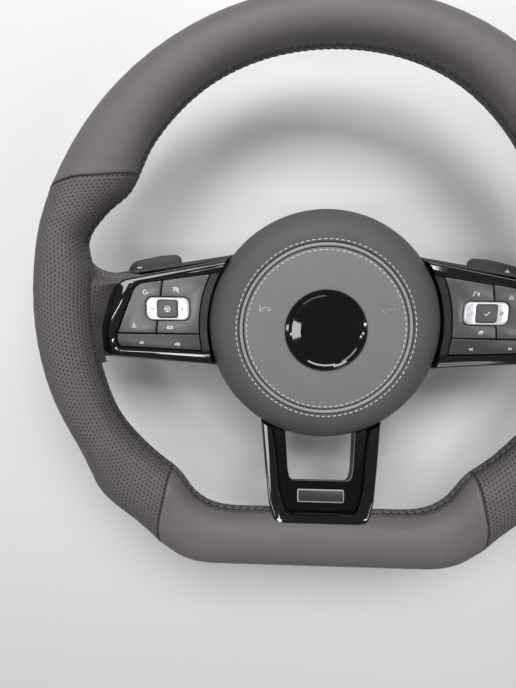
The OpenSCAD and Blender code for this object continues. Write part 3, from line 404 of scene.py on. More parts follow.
def leather_panel(name, start, end, material, node):
    gap = math.degrees(SEAM_GAP / 2 / RIM_MEAN)
    step = [math.degrees(v / RIM_MEAN) for v in (0.05, 0.12, 0.25, 0.4, 0.5, 0.7)]
    phis = eased((end - start) / 0.62, start + gap, end - gap, step)
    psis = eased(96, SLIT_HALF - 180, 180 - SLIT_HALF, [0.2, 0.5, 1.0, 1.6, 2.4])
    phi, psi = np.meshgrid(phis, psis, indexing="ij")
    turned = phi + slant(phi) * np.cos(np.radians(psi))
    flat = skin(turned, psi, 0)
    run = np.linalg.norm(np.diff(flat, axis=1), axis=2)
    around = np.concatenate([np.zeros((len(phis), 1)), np.cumsum(run, axis=1)], axis=1)
    to_slit = np.minimum(around, around[:, -1:] - around)
    to_seam = np.radians(np.minimum(phi - phis[0], phis[-1] - phi)) * RIM_MEAN
    front = around - around[:, [len(psis) * 3 // 4]]
    swell = 0.28 * np.exp(-((to_seam - 2.6) / 1.6) ** 2) + 0.25 * np.exp(-((to_slit - 4.2) / 1.8) ** 2)
    wave = np.sin(phi * 1.7 + 1.3 * np.sin(psi / 31)) * np.sin(psi / 23 + phi / 9) * 0.07
    pull = np.cos(np.radians(phi) * RIM_MEAN * 2 * np.pi / STITCH_PITCH)
    pucker = 0.09 * pull * np.exp(-((to_slit - 3) / 2.2) ** 2)
    depth = fold_down(to_seam, FOLD_MM, 1.0) + fold_down(to_slit, 1.5, 1.1) - swell - wave - pucker
    points = skin(turned, psi, depth)
    hide = np.stack([np.radians(phi - (start + end) / 2) * RIM_MEAN, front], -1).reshape(-1, 2)
    made = piece(name, points.reshape(-1, 3), grid_faces(len(phis), len(psis)), material, "wheel", [node],
                 hide=hide, sharp=None)
    print(name, len(made.data.polygons), "faces")
    return made


leather_panel("top_leather", -SEAM_UPPER, SEAM_UPPER, smooth_nappa, "leather_top")
leather_panel("left_grip_leather", SEAM_UPPER, SEAM_LOWER, punched_nappa, "leather_grip_left")
leather_panel("right_grip_leather", -SEAM_LOWER, -SEAM_UPPER, punched_nappa, "leather_grip_right")
leather_panel("bottom_leather", SEAM_LOWER, 360 - SEAM_LOWER, smooth_nappa, "leather_bottom")

# %% [markdown]
# Beside each side spoke the grip's leather runs on and fills the corner between rim and spoke, down to the
# black bezel. The patch hangs between two curves, one on the rim and one under the bezel's edge. Its upper
# side is free, so it follows a third curve and is rolled over like the rim.

# %% Leather in the corners of the spokes
ROOT_EDGE = [(156.0, 47.0, 57.0), (154.0, 38.5, 55.0), (150.2, 31.8, 53.0), (145.2, 27.6, 51.0),
             (138.6, 25.6, 49.2), (131.0, 25.3, 48.0), (123.0, 24.6, 47.0), (116.0, 23.6, 46.0)]
ROOT_BEZEL = [(116.0, 21.0, 46.0), (126.0, 19.5, 47.0), (134.0, 17.5, 48.0), (139.5, 11.0, 48.5),
              (142.6, 2.0, 49.0), (145.0, -9.0, 49.0), (145.2, -21.0, 49.0), (144.6, -33.0, 48.5)]
ROOT_ROLL = 3.2
ROOT_TOP, ROOT_LOW = 75, 102
ROOT_PSI = 136.0
ROOT_DEPTH = 0.3


def through(points, count):
    """A smooth curve through the points, as many samples as count says."""
    points = np.array(points, float)
    slope = np.gradient(points, axis=0)
    x = np.linspace(0, len(points) - 1, count)
    i = np.minimum(x.astype(int), len(points) - 2)
    s = (x - i)[:, None]
    return (points[i] * (2 * s**3 - 3 * s**2 + 1) + points[i + 1] * (3 * s**2 - 2 * s**3)
            + slope[i] * (s**3 - 2 * s**2 + s) + slope[i + 1] * (s**3 - s**2))


def spoke_root(side):
    across, down = 56, 44
    edge, bezel_side = through(ROOT_EDGE, across), through(ROOT_BEZEL, down)
    run = np.gradient(edge, axis=0)
    inward = np.stack([-run[:, 1], run[:, 0], 0 * run[:, 0]], -1)
    inward /= np.linalg.norm(inward, axis=1, keepdims=True)
    rows = []
    for a in np.linspace(-90, 90, 11):
        c, t = math.cos(math.radians(a)), math.sin(math.radians(a))
        rows.append(edge + inward * ROOT_ROLL * (1 - c) + np.array([0, 0, ROOT_ROLL * (t - 1)]))
    phi = -np.linspace(ROOT_TOP, ROOT_LOW, down)
    rim_side = skin(phi, np.full(down, ROOT_PSI), ROOT_DEPTH)
    fall = skin(phi, np.full(down, ROOT_PSI + 5), ROOT_DEPTH) - rim_side
    fall = -fall[:, 2] / np.hypot(fall[:, 0], fall[:, 1])
    u = np.linspace(0, 1, across)[:, None]
    def between(j):
        step = bezel_side[j] - rim_side[j]
        power = np.clip(fall[j] * np.hypot(step[0], step[1]) / max(-step[2], 0.1), 1, 7)
        return rim_side[j] + step * np.hstack([u, u, 1 - (1 - u) ** power])
    lift = rows[-1] - between(0)
    for j in range(1, down):
        rows.append(between(j) + lift * (1 - j / (down - 1)) ** 4)
    rows += [rows[-1] + np.array([0.5, -1.5, -5.0]), rows[-1] + np.array([1.0, -2.0, -12.0])]
    points = np.stack(rows, 1)
    width = np.linalg.norm(np.diff(points, axis=0, prepend=points[:1]), axis=2).cumsum(axis=0)
    length = np.linalg.norm(np.diff(points, axis=1, prepend=points[:, :1]), axis=2).cumsum(axis=1)
    hide = np.stack([length - length[:, 10:11], width], -1).reshape(-1, 2)
    faces = grid_faces(across, len(rows))
    if side == "right":
        faces = [f[::-1] for f in faces]
    mirror = (-1, 1, 1) if side == "left" else (1, 1, 1)
    return piece("spoke_root_leather_" + side, points.reshape(-1, 3) * mirror, faces, punched_nappa, "wheel",
                 hide=hide, sharp=None)


spoke_root("left")
spoke_root("right")
print("spoke corners wrapped")

# %% [markdown]
# ## Stitches
# A stitch is a short thread that comes up out of one hole and goes down into the next. Hundreds of them are
# made at once: each is a bent tube that rises in its middle and dips at both ends.

# %% Stitches as bent tubes
def threads(name, starts, ends, normals, radius, rise, material, body):
    starts, ends, normals = (np.asarray(v, float) for v in (starts, ends, normals))
    steps, sides = 7, 7
    t = np.linspace(0, 1, steps)
    along = ends - starts
    lift = rise * np.sin(np.pi * t) ** 0.6 - radius * 0.9
    centre = starts[:, None] + along[:, None] * t[:, None] + normals[:, None] * lift[:, None]
    tangent = np.gradient(centre, axis=1)
    tangent /= np.linalg.norm(tangent, axis=2, keepdims=True)
    side = np.cross(np.broadcast_to(normals[:, None], tangent.shape), tangent)
    side /= np.linalg.norm(side, axis=2, keepdims=True)
    up = np.cross(tangent, side)
    angle = np.linspace(0, 2 * np.pi, sides, endpoint=False)
    width = radius * (0.62 + 0.38 * np.sin(np.pi * t) ** 0.5)
    ring = (centre[:, :, None] + width[:, None, None] * (np.cos(angle)[:, None] * side[:, :, None]
                                                         + np.sin(angle)[:, None] * up[:, :, None]))
    points = ring.reshape(-1, 3)
    one = grid_faces(steps, sides, closed=True)
    caps = [tuple(range(sides))[::-1], tuple(range((steps - 1) * sides, steps * sides))]
    faces = [tuple(v + k * steps * sides for v in f) for k in range(len(starts)) for f in one + caps]
    made = piece(name, points, faces, material, body, sharp=None)
    print(name, len(starts), "stitches")
    return made


def rim_place(phi, psi):
    """Points on the leather and the directions away from it."""
    at = skin(phi + slant(phi) * np.cos(np.radians(psi)), psi, -0.1)
    out = at - skin(phi, psi, 4)
    return at, out / np.linalg.norm(out, axis=-1, keepdims=True)


RIM_INNER = 148
SLIT_OFFSET = 10.5


def inside_stitches():
    """Crosses along the inner seam, between two running rows."""
    step = math.degrees(STITCH_PITCH / RIM_INNER)
    phi = np.arange(-180 + step / 2, 180, step)
    a = fold(phi)
    phi = phi[(np.abs(a - 90) > 11) & (a < 166)]
    near, far = 180 - SLIT_OFFSET, 180 + SLIT_OFFSET
    starts, ends, normals = [], [], []
    for p0, s0, p1, s1 in ((0, near, 1, far), (0, far, 1, near), (0.1, near - 1.5, 0.92, near - 1.5),
                           (0.1, far + 1.5, 0.92, far + 1.5)):
        a0, n0 = rim_place(phi + p0 * step, np.full(len(phi), float(s0)))
        a1, n1 = rim_place(phi + p1 * step, np.full(len(phi), float(s1)))
        starts.append(a0)
        ends.append(a1)
        normals.append((n0 + n1) / 2)
    return threads("rim_cross_stitching", np.vstack(starts), np.vstack(ends), np.vstack(normals), 0.42, 0.55,
                   black_thread, "wheel")


inside_stitches()


def seam_stitches():
    """Short stitches over the four slanted seams."""
    starts, ends, normals = [], [], []
    half = math.degrees(0.95 / RIM_MEAN)
    for seam in (SEAM_UPPER, SEAM_LOWER, -SEAM_UPPER, -SEAM_LOWER):
        psi = np.arange(-165, 165, 4.4)
        a0, n0 = rim_place(np.full(len(psi), seam - half), psi)
        a1, n1 = rim_place(np.full(len(psi), seam + half), psi + 2.2)
        starts.append(a0 - n0 * 0.15)
        ends.append(a1 - n1 * 0.15)
        normals.append((n0 + n1) / 2)
    return threads("seam_stitching", np.vstack(starts), np.vstack(ends), np.vstack(normals), 0.36, 0.3,
                   black_thread, "wheel")


seam_stitches()

# %% [markdown]
# ## The hub
# The hub is the lid of the airbag. Its outer ring is one soft skin, and a leather disc is set into it. Round
# the disc runs a piping, a cord in a strip of leather, and on both sides of it the hide is stitched in light
# grey. A ring like this is a profile turned round an axis.

# %% Turned shapes
HUB_Y = -8.75
COVER_TOP = 56.4


def turned(name, profile, material, body, replaced=(), steps=192, sharp=SHARP):
    profile = np.array(profile, float)
    angle = np.linspace(0, 2 * np.pi, steps, endpoint=False)
    r, z = profile[:, 0][:, None], profile[:, 1][:, None]
    points = np.stack([r * np.cos(angle), HUB_Y + r * np.sin(angle), z + 0 * angle], -1).reshape(-1, 3)
    faces = [f[::-1] for f in grid_faces(len(profile), steps, closed=True)]
    made = piece(name, points, faces, material, body, replaced, sharp=sharp)
    print(name, "radius", profile[:, 0].max())
    return made


def dome(r):
    return 41 + (COVER_TOP - 0.4 - 41) * np.sqrt(np.clip(1 - ((r - 57) / (76 - 57)) ** 2, 0, 1))


outer = [(r, float(dome(r))) for r in (57 + 19 * math.sin(math.radians(a)) for a in range(0, 91, 3))]
ring_profile = ([(52.8, 54.5), (55.2, 54.5), (55.5, COVER_TOP - 1.1), (55.8, COVER_TOP - 0.5),
                 (56.3, COVER_TOP - 0.38)] + outer
                + [(76, 37.6), (75.7, 37.2), (73.3, 37.2), (73, 37.6), (73, 40)])
hub_ring = turned("hub_ring_skin_with_painted_shade", ring_profile[::-1], hub_ring_skin_with_painted_shade, "airbag_module", ["airbag_cover"])
disc_profile = [(0.01, COVER_TOP + 1.2), (20, COVER_TOP + 1.1), (40, COVER_TOP + 0.5), (50, COVER_TOP + 0.15),
                (51.2, COVER_TOP), (51.9, COVER_TOP - 0.3), (52.3, COVER_TOP - 0.8), (52.4, COVER_TOP - 1.8)]
hub_disc = turned("hub_disc_leather", disc_profile[::-1], hub_nappa, "airbag_module", ["cover_disc"],
                  sharp=None)
CORD_RADIUS = 1.15
cord = [(54 + CORD_RADIUS * math.cos(a), COVER_TOP - 0.75 + CORD_RADIUS * math.sin(a))
        for a in map(math.radians, range(0, 361, 15))]
turned("hub_piping", cord, piping_nappa, "airbag_module", ["piping"], sharp=None)

# %% [markdown]
# Two rows of light stitches hold the disc, one on each side of the piping. They are the same bent tubes as on
# the rim, set at even angles round the hub, and each covers two thirds of its step.

# %% Stitching of the hub
def ring_stitches(name, radius, height, pitch, share):
    count = int(2 * math.pi * radius / pitch)
    angle = np.arange(count) * 2 * np.pi / count
    reach = share * 2 * np.pi / count
    def at(a):
        return np.stack([radius * np.cos(a), HUB_Y + radius * np.sin(a), np.full(count, height)], -1)
    return threads(name, at(angle), at(angle + reach), np.tile([0, 0, 1.0], (count, 1)), 0.36, 0.5,
                   grey_thread, "airbag_module")


ring_stitches("hub_outer_stitching", 57.2, COVER_TOP - 0.35, 3.6, 0.68)
ring_stitches("hub_inner_stitching", 50.6, COVER_TOP + 0.12, 3.6, 0.68)

# %% [markdown]
# ## Outlines with rounded corners
# The black trims are drawn as a few corners, each with its own radius. From them come the outline, and the
# same outline moved inwards, and rings of outlines at rising heights make a solid with a rounded edge.

# %% Outlines and lofts
def corner_arc(a, b, c, radius):
    if radius <= 0:
        return [b]
    u, v = (a - b) / np.linalg.norm(a - b), (c - b) / np.linalg.norm(c - b)
    half = math.acos(float(np.clip(u @ v, -1, 1))) / 2
    centre = b + (u + v) / np.linalg.norm(u + v) * radius / math.sin(half)
    p, q = b + u * radius / math.tan(half) - centre, b + v * radius / math.tan(half) - centre
    start = math.atan2(p[1], p[0])
    sweep = math.atan2(p[0] * q[1] - p[1] * q[0], p @ q)
    count = max(3, math.ceil(abs(math.degrees(sweep)) / 5))
    turns = [start + sweep * i / count for i in range(count + 1)]
    return [centre + radius * np.array([math.cos(turn), math.sin(turn)]) for turn in turns]


def rounded(corners):
    xy = [np.array(c[:2], float) for c in corners]
    n = len(xy)
    arcs = [corner_arc(xy[i - 1], xy[i], xy[(i + 1) % n], corners[i][2]) for i in range(n)]
    return np.array([point for run in arcs for point in run])


def inset(corners, d):
    """The same corners moved inwards by d, for an outline that runs clockwise."""
    n, moved = len(corners), []
    for i in range(n):
        a, b, c = (np.array(corners[k % n][:2], float) for k in (i - 1, i, i + 1))
        u, w = (b - a) / np.linalg.norm(b - a), (c - b) / np.linalg.norm(c - b)
        nu, nw = np.array([u[1], -u[0]]), np.array([w[1], -w[0]])
        at = b + d * (nu + nw) / (1 + nu @ nw)
        moved.append((at[0], at[1], 0 if corners[i][2] == 0 else max(0.1, corners[i][2] - d)))
    return moved


def loft(name, rings, material, body, place=None):
    """A closed solid through clockwise outlines of equal length: rings = [(points, z), ...], low to high."""
    n = len(rings[0][0])
    points = np.array([(x, y, z) for outline, z in rings for x, y in outline])
    if place is not None:
        points = np.array([place @ Vector(p) for p in points])
    faces = [f[::-1] for f in grid_faces(len(rings), n, closed=True)]
    faces += [tuple(range(n)), tuple(range((len(rings) - 1) * n, len(rings) * n))[::-1]]
    return piece(name, points, faces, material, body)


def turn_outwards(made):
    work = bmesh.new()
    work.from_mesh(made.data)
    bmesh.ops.recalc_face_normals(work, faces=work.faces)
    work.to_mesh(made.data)
    work.free()


def cut(target, *tools):
    turn_outwards(target)
    for tool in tools:
        turn_outwards(tool)
        made = target.modifiers.new("cut", "BOOLEAN")
        made.operation, made.solver, made.object = "DIFFERENCE", "EXACT", tool
    bpy.context.view_layer.update()
    baked = bpy.data.meshes.new_from_object(target.evaluated_get(bpy.context.evaluated_depsgraph_get()))
    target.modifiers.clear()
    old, target.data = target.data, baked
    bpy.data.meshes.remove(old)
    for tool in tools:
        bpy.data.objects.remove(tool)
    target.data.set_sharp_from_angle(angle=SHARP)
    return target


def edge_rings(outline, low, top, radius, steps=5):
    """Outlines of a straight wall that ends in a rounded edge."""
    rings = [(rounded(outline), low)]
    for i in range(steps + 1):
        a = math.radians(90 * i / steps)
        rings.append((rounded(inset(outline, radius * (1 - math.cos(a)))), top - radius * (1 - math.sin(a))))
    return rings


print("an inset square corner:", inset([(0, 0, 0), (0, 9, 0), (9, 9, 0), (9, 0, 0)], 1)[1][:2])

# %% [markdown]
# ## Black bezels
# Each side spoke has a frame of piano black round its keys. Its front is slightly crowned and its edges are
# rounded, and that is where lamps show as streaks. Where the frame meets the hub it is cut off round, and
# where it meets the rim it is cut to the rim's oval.

# %% Bezels
BEZEL = [(50, 37.5, 0), (135.2, 21.2, 14), (147, -10, 18), (146.3, -28.6, 7), (50, -35.8, 0)]
WINDOW = [(50, 29.4, 0), (123.4, 19.1, 10), (137.3, -15.5, 9), (136.5, -23.2, 4), (50, -26.4, 0)]
BEZEL_Z, BEZEL_TOP = 40.2, 51.5
HUB_ROOM = 77


def disc_tool(name, radius, low, high, steps=192):
    angle = np.linspace(0, 2 * np.pi, steps, endpoint=False)[::-1]
    outline = np.stack([radius * np.cos(angle), HUB_Y + radius * np.sin(angle)], -1)
    return loft(name, [(outline, low), (outline, high)], piano_black, "wheel")


def rim_tool(name, grow=0.3):
    phis, psis = np.arange(-130, -50, 1.0), np.arange(0, 360, 7.5)
    phi, psi = np.meshgrid(phis, psis, indexing="ij")
    points = skin(phi, psi, -grow).reshape(-1, 3)
    m, n = len(phis), len(psis)
    faces = [f[::-1] for f in grid_faces(m, n, closed=True)]
    faces += [tuple(range(n)), tuple(range((m - 1) * n, m * n))[::-1]]
    return piece(name, points, faces, piano_black, "wheel")


def flip(target):
    target.data.transform(Matrix.Scale(-1, 4, (1, 0, 0)))
    target.data.flip_normals()
    return target


def bezel(side):
    body = loft("bezel_front_" + side, edge_rings(BEZEL, BEZEL_Z, BEZEL_TOP - 0.5, 2.4, 7)
                + [(rounded(inset(BEZEL, 3.6)), BEZEL_TOP)], piano_black, "wheel")
    hole = [(rounded(WINDOW), BEZEL_Z - 1), (rounded(WINDOW), BEZEL_TOP - 2.4)]
    hole += [(rounded(inset(WINDOW, -wider)), BEZEL_TOP + z)
             for wider, z in ((0.2, -1.5), (0.8, -0.8), (2.0, -0.1), (2.6, 0.3))]
    cut(body, loft("window", hole, piano_black, "wheel"), disc_tool("hub_room", HUB_ROOM, 20, 80),
        rim_tool("rim_room"))
    if side == "left":
        flip(body)
    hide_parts("bezel_" + side)
    print("bezel", side, len(body.data.polygons), "faces")
    return body


bezel("left")
bezel("right")

# %% [markdown]
# ## Black trim of the lower spoke
# The lower spoke leans back towards the rim, so its trim is drawn flat and then tilted. It has a raised rim,
# a sunken floor with a window in it, and a small bright-edged plate, left without a name here.

# %% Lower spoke trim
TRIM = [(-41, 8, 0), (41, 8, 0), (37.6, -24, 60), (34.6, -48, 20), (29.5, -63.5, 9), (-29.5, -63.5, 9),
        (-34.6, -48, 20), (-37.6, -24, 60)]
RIDGE = [(-34.2, 12, 0), (34.2, 12, 0), (29.5, -28, 0), (27.4, -43, 8), (24, -54.5, 7), (-24, -54.5, 7),
         (-27.4, -43, 8), (-29.5, -28, 0)]
GAP = [(-25.5, 20, 0), (25.5, 20, 0), (22.2, -26, 0), (20.5, -33.8, 4), (-20.5, -33.8, 4), (-22.2, -26, 0)]
SPOKE = Matrix.Translation((0, -78, 48)) @ Matrix.Rotation(math.radians(-22.5), 4, "X")


def tilted(name, rings):
    return loft(name, rings, piano_black, "wheel", place=SPOKE)


def bottom_rim_tool():
    angle = np.arange(0, 360, 6.0)[::-1]
    c, s = np.cos(np.radians(angle)), np.sin(np.radians(angle))
    section = np.stack([-149.7 + 19.1 * oval(c), RIM_Z + 17.3 * oval(s)], -1)
    n = len(angle)
    points = [(x, y, z) for x in (-90, 90) for y, z in section]
    faces = grid_faces(2, n, closed=True) + [tuple(range(n))[::-1], tuple(range(n, 2 * n))]
    return piece("bottom_rim_room", points, faces, piano_black, "wheel")


def lower_trim():
    body = tilted("lower_spoke_trim", edge_rings(TRIM, -9, -0.4, 2.2, 7) + [(rounded(inset(TRIM, 3.4)), 0)])
    steps = (1.5, -5.5), (0.4, -2.2), (0.1, -1.3), (-0.5, -0.6), (-1.4, -0.1), (-1.8, 0.4)
    sunk = [(rounded(inset(RIDGE, inwards)), z) for inwards, z in steps]
    cut(body, tilted("sunk", sunk), tilted("gap", [(rounded(GAP), -12), (rounded(GAP), 4)]),
        disc_tool("hub_room", HUB_ROOM, 10, 90), bottom_rim_tool())
    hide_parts("bottom_trim")
    print("lower trim", len(body.data.polygons), "faces")
    return body


trim = lower_trim()

# %% [markdown]
# The floor of the trim is painted a deeper black than its raised rim, as painted shade in the recess. Both
# are one moulding, so the floor's faces are found by their depth and direction, and only they take the second
# material.

# %% Floor of the lower trim
SUNK_DEPTH = 5.2
trim.data.materials.append(floor_black_with_painted_shade)
forwards = SPOKE.to_3x3() @ Vector((0, 0, 1))
back = SPOKE.inverted()
sunk_faces = [face for face in trim.data.polygons
              if (back @ (face.center * 1000)).z < -SUNK_DEPTH and face.normal.dot(forwards) > 0.9]
for face in sunk_faces:
    face.material_index = 1
print(len(sunk_faces), "faces in the trim's floor")

# %% [markdown]
# ## Softened edges
# Moulded keys have edges rounded by a few tenths of a millimetre. The solids are right but sharp, so each is
# copied, its corners are merged and a bevel rounds them. The copy stands for the solid.

# %% Keys, buttons and paddles
def softened(node, material, width_mm, body=None, angle=40):
    mesh = nodes[node].data.copy()
    made = bpy.data.objects.new(node + "_finish", mesh)
    bpy.context.scene.collection.objects.link(made)
    mesh.materials.clear()
    mesh.materials.append(material)
    weld = made.modifiers.new("weld", "WELD")
    weld.merge_threshold = 0.00002
    flat = made.modifiers.new("flat", "DECIMATE")
    flat.decimate_type, flat.angle_limit = "DISSOLVE", math.radians(3)
    bevel = made.modifiers.new("bevel", "BEVEL")
    bevel.width, bevel.segments, bevel.limit_method = width_mm / 1000, 3, "ANGLE"
    bevel.angle_limit, bevel.harden_normals = math.radians(angle), False
    bpy.context.view_layer.update()
    made.data = bpy.data.meshes.new_from_object(made.evaluated_get(bpy.context.evaluated_depsgraph_get()))
    made.modifiers.clear()
    made.data.shade_smooth()
    made.data.set_sharp_from_angle(angle=SHARP)
    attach(made, body or node)
    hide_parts(node)
    return made


for side in ("left", "right"):
    softened("outer_key_" + side, satin_keys, 0.35)
    softened("inner_key_" + side, satin_keys, 0.35)
    softened("lower_bar_" + side, bar_lacquer, 0.35)
    softened("rocker_" + side, bright_plate, 0.2)
    softened("centre_button_" + side, button_lacquer, 0.2)
    softened("paddle_" + side, paddle_paint, 0.3)
print("keys, buttons and paddles softened")

# %% [markdown]
# The small plate of the lower spoke is dark, and its edge is bright plating. Its faces are sorted by
# direction: those that lean away from the front are the edge.

# %% Bright edge of the plate
plate = softened("badge_plate", badge_lacquer, 0.15, "wheel").data
plate.materials.append(bright_plate)
front = max(plate.polygons, key=lambda face: face.area * (face.normal.z > 0)).normal.copy()
for face in plate.polygons:
    face.material_index = int(face.normal.dot(front) < 0.93)
print("plate has", sum(face.material_index for face in plate.polygons), "bright faces")

# %% [markdown]
# Three steel springs hold the airbag module up and stand on the contact ring. When the horn is pressed they
# shorten by 2.5 of their 11 mm; here they are copied with softened edges and stay at full height.

# %% Horn springs
springs = softened("horn_springs", turned_steel, 0.02, "wheel", angle=60)
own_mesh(springs)
print("springs are", round(springs.dimensions.z * 1000, 1), "mm high")

# %% [markdown]
# Some solids already have their final shape, and most of them are hidden inside. Each still gets the finish
# of the real piece: the casting is aluminium, the hub steel, the bag nylon, the shells grained ABS.

# %% Finishes of the solids that stay
FINISH = {
    "armature": cast_aluminium, "hub_insert": turned_steel, "rim_foam": moulded_foam,
    "switch_housing_left": dark_housing, "switch_housing_right": dark_housing,
    "switch_board_left": circuit_board, "switch_board_right": circuit_board,
    "lower_rear_trim": grained_shell, "rear_cover": grained_shell, "cover_screws": black_steel,
    "paddle_bracket_left": grained_shell, "paddle_bracket_right": grained_shell, "paddle_pins": turned_steel,
    "horn_ring": yellow_zinc, "emblem_ring": gloss_emblem, "emblem_disc": gloss_emblem,
    "airbag_can": turned_steel, "airbag_cushion": woven_bag, "inflator": turned_steel,
    "inflator_nuts": yellow_zinc, "guide_pins": turned_steel,
}
for name, material in FINISH.items():
    nodes[name].data.materials.clear()
    nodes[name].data.materials.append(material)
print(len(FINISH), "solids painted")

# %% [markdown]
# ## Signs
# The signs on the keys are printed. Each is drawn with strokes, as with a pen, a few tenths of a millimetre
# wide, and laid a hair above the key. Where the real keys have words, plain signs of the same meaning stand.

# %% Strokes
def arc(x, y, radius, start, end, steps=18):
    angle = np.radians(np.linspace(start, end, steps))
    return [(x + radius * math.cos(a), y + radius * math.sin(a)) for a in angle]


def strokes(name, lines, at, height, width, material, body, scale=1.0):
    """Flat ribbons along open lines. Every line is a list of points round the sign's middle, in mm."""
    points, faces = [], []
    for line in lines:
        path = np.array(line, float) * scale
        run = np.gradient(path, axis=0)
        run /= np.maximum(np.linalg.norm(run, axis=1, keepdims=True), 1e-9)
        side = np.stack([-run[:, 1], run[:, 0]], -1) * width / 2
        ends = path.copy()
        ends[0] -= run[0] * width * 0.3
        ends[-1] += run[-1] * width * 0.3
        first, n = len(points), len(path)
        points += [(p[0] + at[0], p[1] + at[1], height) for p in ends + side]
        points += [(p[0] + at[0], p[1] + at[1], height) for p in ends - side]
        faces += [(first + i, first + n + i, first + n + i + 1, first + i + 1) for i in range(n - 1)]
    return piece(name, points, faces, material, body, sharp=None)


PLUS = [[(-1, 0), (1, 0)], [(0, -1), (0, 1)]]
LINES = [[(-0.9, -0.9), (-0.3, 0.9)], [(0.1, -0.9), (0.7, 0.9)]]
RING = [arc(0, 0, 1.1, 0, 360, 24), [(-0.9, -0.6), (0.9, 0.6)]]
PINNED = [[(-1.4, -1.2), (1.4, -1.2)], [(0, 1.4), (0, -0.5)], [(-0.7, 0.3), (0, -0.5), (0.7, 0.3)]]
HORN = [[(-2.6, 1.5), (-2.2, -1.0), (-1.4, -1.6), (-0.9, -0.2), (1.2, 0.3), (3.0, -0.4)],
        arc(2.9, -1.0, 0.7, 60, 400, 12), arc(-2.4, -1.5, 0.5, 0, 360, 10)]
MINUS = [[(-1, 0), (1, 0)]]
DIAL = [arc(0, 0, 1.3, -40, 220), [(0, 0), (0.8, 0.7)], [(-1.6, 1.6), (1.6, -1.6)]]
GAP_AHEAD = [[(-0.9, -0.9), (-1.1, 0.2), (-0.6, 0.9), (0.6, 0.9), (1.1, 0.2), (0.9, -0.9), (-0.9, -0.9)],
             arc(0, 0, 1.9, 150, 210), arc(0, 0, 1.9, -30, 30)]
TURN_BACK = [arc(0, 0, 1.3, 60, 330), [(1.9, -0.2), (1.2, -0.75), (0.6, -0.05)]]
TICK = [[(-1.3, 0), (-0.3, -1.0), (1.4, 1.1)]]
WHEEL = [arc(0, 0, 1.5, 0, 360, 30), [(-1.5, 0.1), (-0.4, 0.1)], [(0.4, 0.1), (1.5, 0.1)],
         [(0, -0.4), (0, -1.5)], arc(0, 0, 0.42, 0, 360, 12)]
SPEAKER = [[(-1.5, -0.4), (-0.9, -0.4), (-0.1, -1.1), (-0.1, 1.1), (-0.9, 0.4), (-1.5, 0.4), (-1.5, -0.4)]]
QUIET = SPEAKER + [arc(0, 0, 0.9, -40, 40)]
LOUD = SPEAKER + [arc(0, 0, 0.9, -40, 40), arc(0, 0, 1.7, -45, 45)]
VOICE = [[(-1.4, -1.2), (-1.4, -0.5), (-0.9, 0.1), (-0.9, 0.9), (-0.3, 1.3), (0.3, 1.0)],
         arc(0.4, 0, 0.8, -40, 40), arc(0.4, 0, 1.5, -40, 40)]
TRIANGLE = [[(-1.3, -1), (0, 1.3), (1.3, -1), (-1.3, -1)]]
PAGES = [[(-1.4, -0.8), (0.6, -0.8), (0.6, 0.6), (-1.4, 0.6), (-1.4, -0.8)],
         [(-0.7, 1.2), (1.3, 1.2), (1.3, -0.2)]]
BACKWARD = [[(1.1, -0.8), (-0.3, 0), (1.1, 0.8), (1.1, -0.8)], [(-0.8, -0.8), (-0.8, 0.8)]]
FORWARD = [[(-x, y) for x, y in line] for line in BACKWARD]
print("signs drawn")

# %% [markdown]
# Each sign sits where the eye expects it on its key, at the height of the key's face. They ride on the keys,
# so they move when a key is pressed.

# %% Signs on keys and paddles
KEY_TOP, BAR_TOP, ROCKER_TOP, BUTTON_TOP, PADDLE_TOP = 49.5, 49.2, 50.3, 50.7, 21.5
HAIR = 0.05
SIGNS = [
    ("turn_back", TURN_BACK, -116.9, 13.4, KEY_TOP, "outer_key_left", 1.0),
    ("pinned", PINNED, -124.8, -8.4, KEY_TOP, "outer_key_left", 1.0),
    ("dial", DIAL, -96.7, 15.0, KEY_TOP, "inner_key_left", 1.15),
    ("gap_ahead", GAP_AHEAD, -101.1, -9.6, KEY_TOP, "inner_key_left", 0.9),
    ("quiet", QUIET, -119.9, -20.0, BAR_TOP, "lower_bar_left", 0.9),
    ("loud", LOUD, -96.7, -20.6, BAR_TOP, "lower_bar_left", 0.9),
    ("voice", VOICE, 94.8, 15.1, KEY_TOP, "inner_key_right", 1.1),
    ("triangle", TRIANGLE, 117.2, 13.2, KEY_TOP, "outer_key_right", 0.9),
    ("pages", PAGES, 100.1, -9.8, KEY_TOP, "inner_key_right", 0.9),
    ("backward", BACKWARD, 94.8, -20.6, BAR_TOP, "lower_bar_right", 0.85),
    ("forward", FORWARD, 119.7, -20.0, BAR_TOP, "lower_bar_right", 0.85),
    ("wheel", WHEEL, -102.3, 2.7, BUTTON_TOP, "centre_button_left", 1.2),
    ("tick", TICK, 102.3, 2.7, BUTTON_TOP, "centre_button_right", 1.2),
]
for name, lines, x, y, height, body, scale in SIGNS:
    strokes("sign_" + name, lines, (x, y), height + HAIR, 0.42, white_print, body, scale)
strokes("sign_rocker_minus", MINUS, (-112.0, 2.7), ROCKER_TOP + HAIR, 0.65, grey_print, "rocker_left", 1.2)
strokes("sign_rocker_plus", PLUS, (-92.6, 2.7), ROCKER_TOP + HAIR, 0.45, grey_print, "rocker_left", 1.2)
strokes("sign_rocker_lines", LINES, (92.9, 2.7), ROCKER_TOP + HAIR, 0.3, grey_print, "rocker_right")
strokes("sign_rocker_ring", RING, (111.7, 2.9), ROCKER_TOP + HAIR, 0.4, grey_print, "rocker_right")
strokes("sign_paddle_minus", MINUS, (-127.2, 27.8), PADDLE_TOP + HAIR, 0.8, white_print, "paddle_left", 1.3)
strokes("sign_paddle_plus", PLUS, (125.0, 28.0), PADDLE_TOP + HAIR, 0.8, white_print, "paddle_right", 1.3)
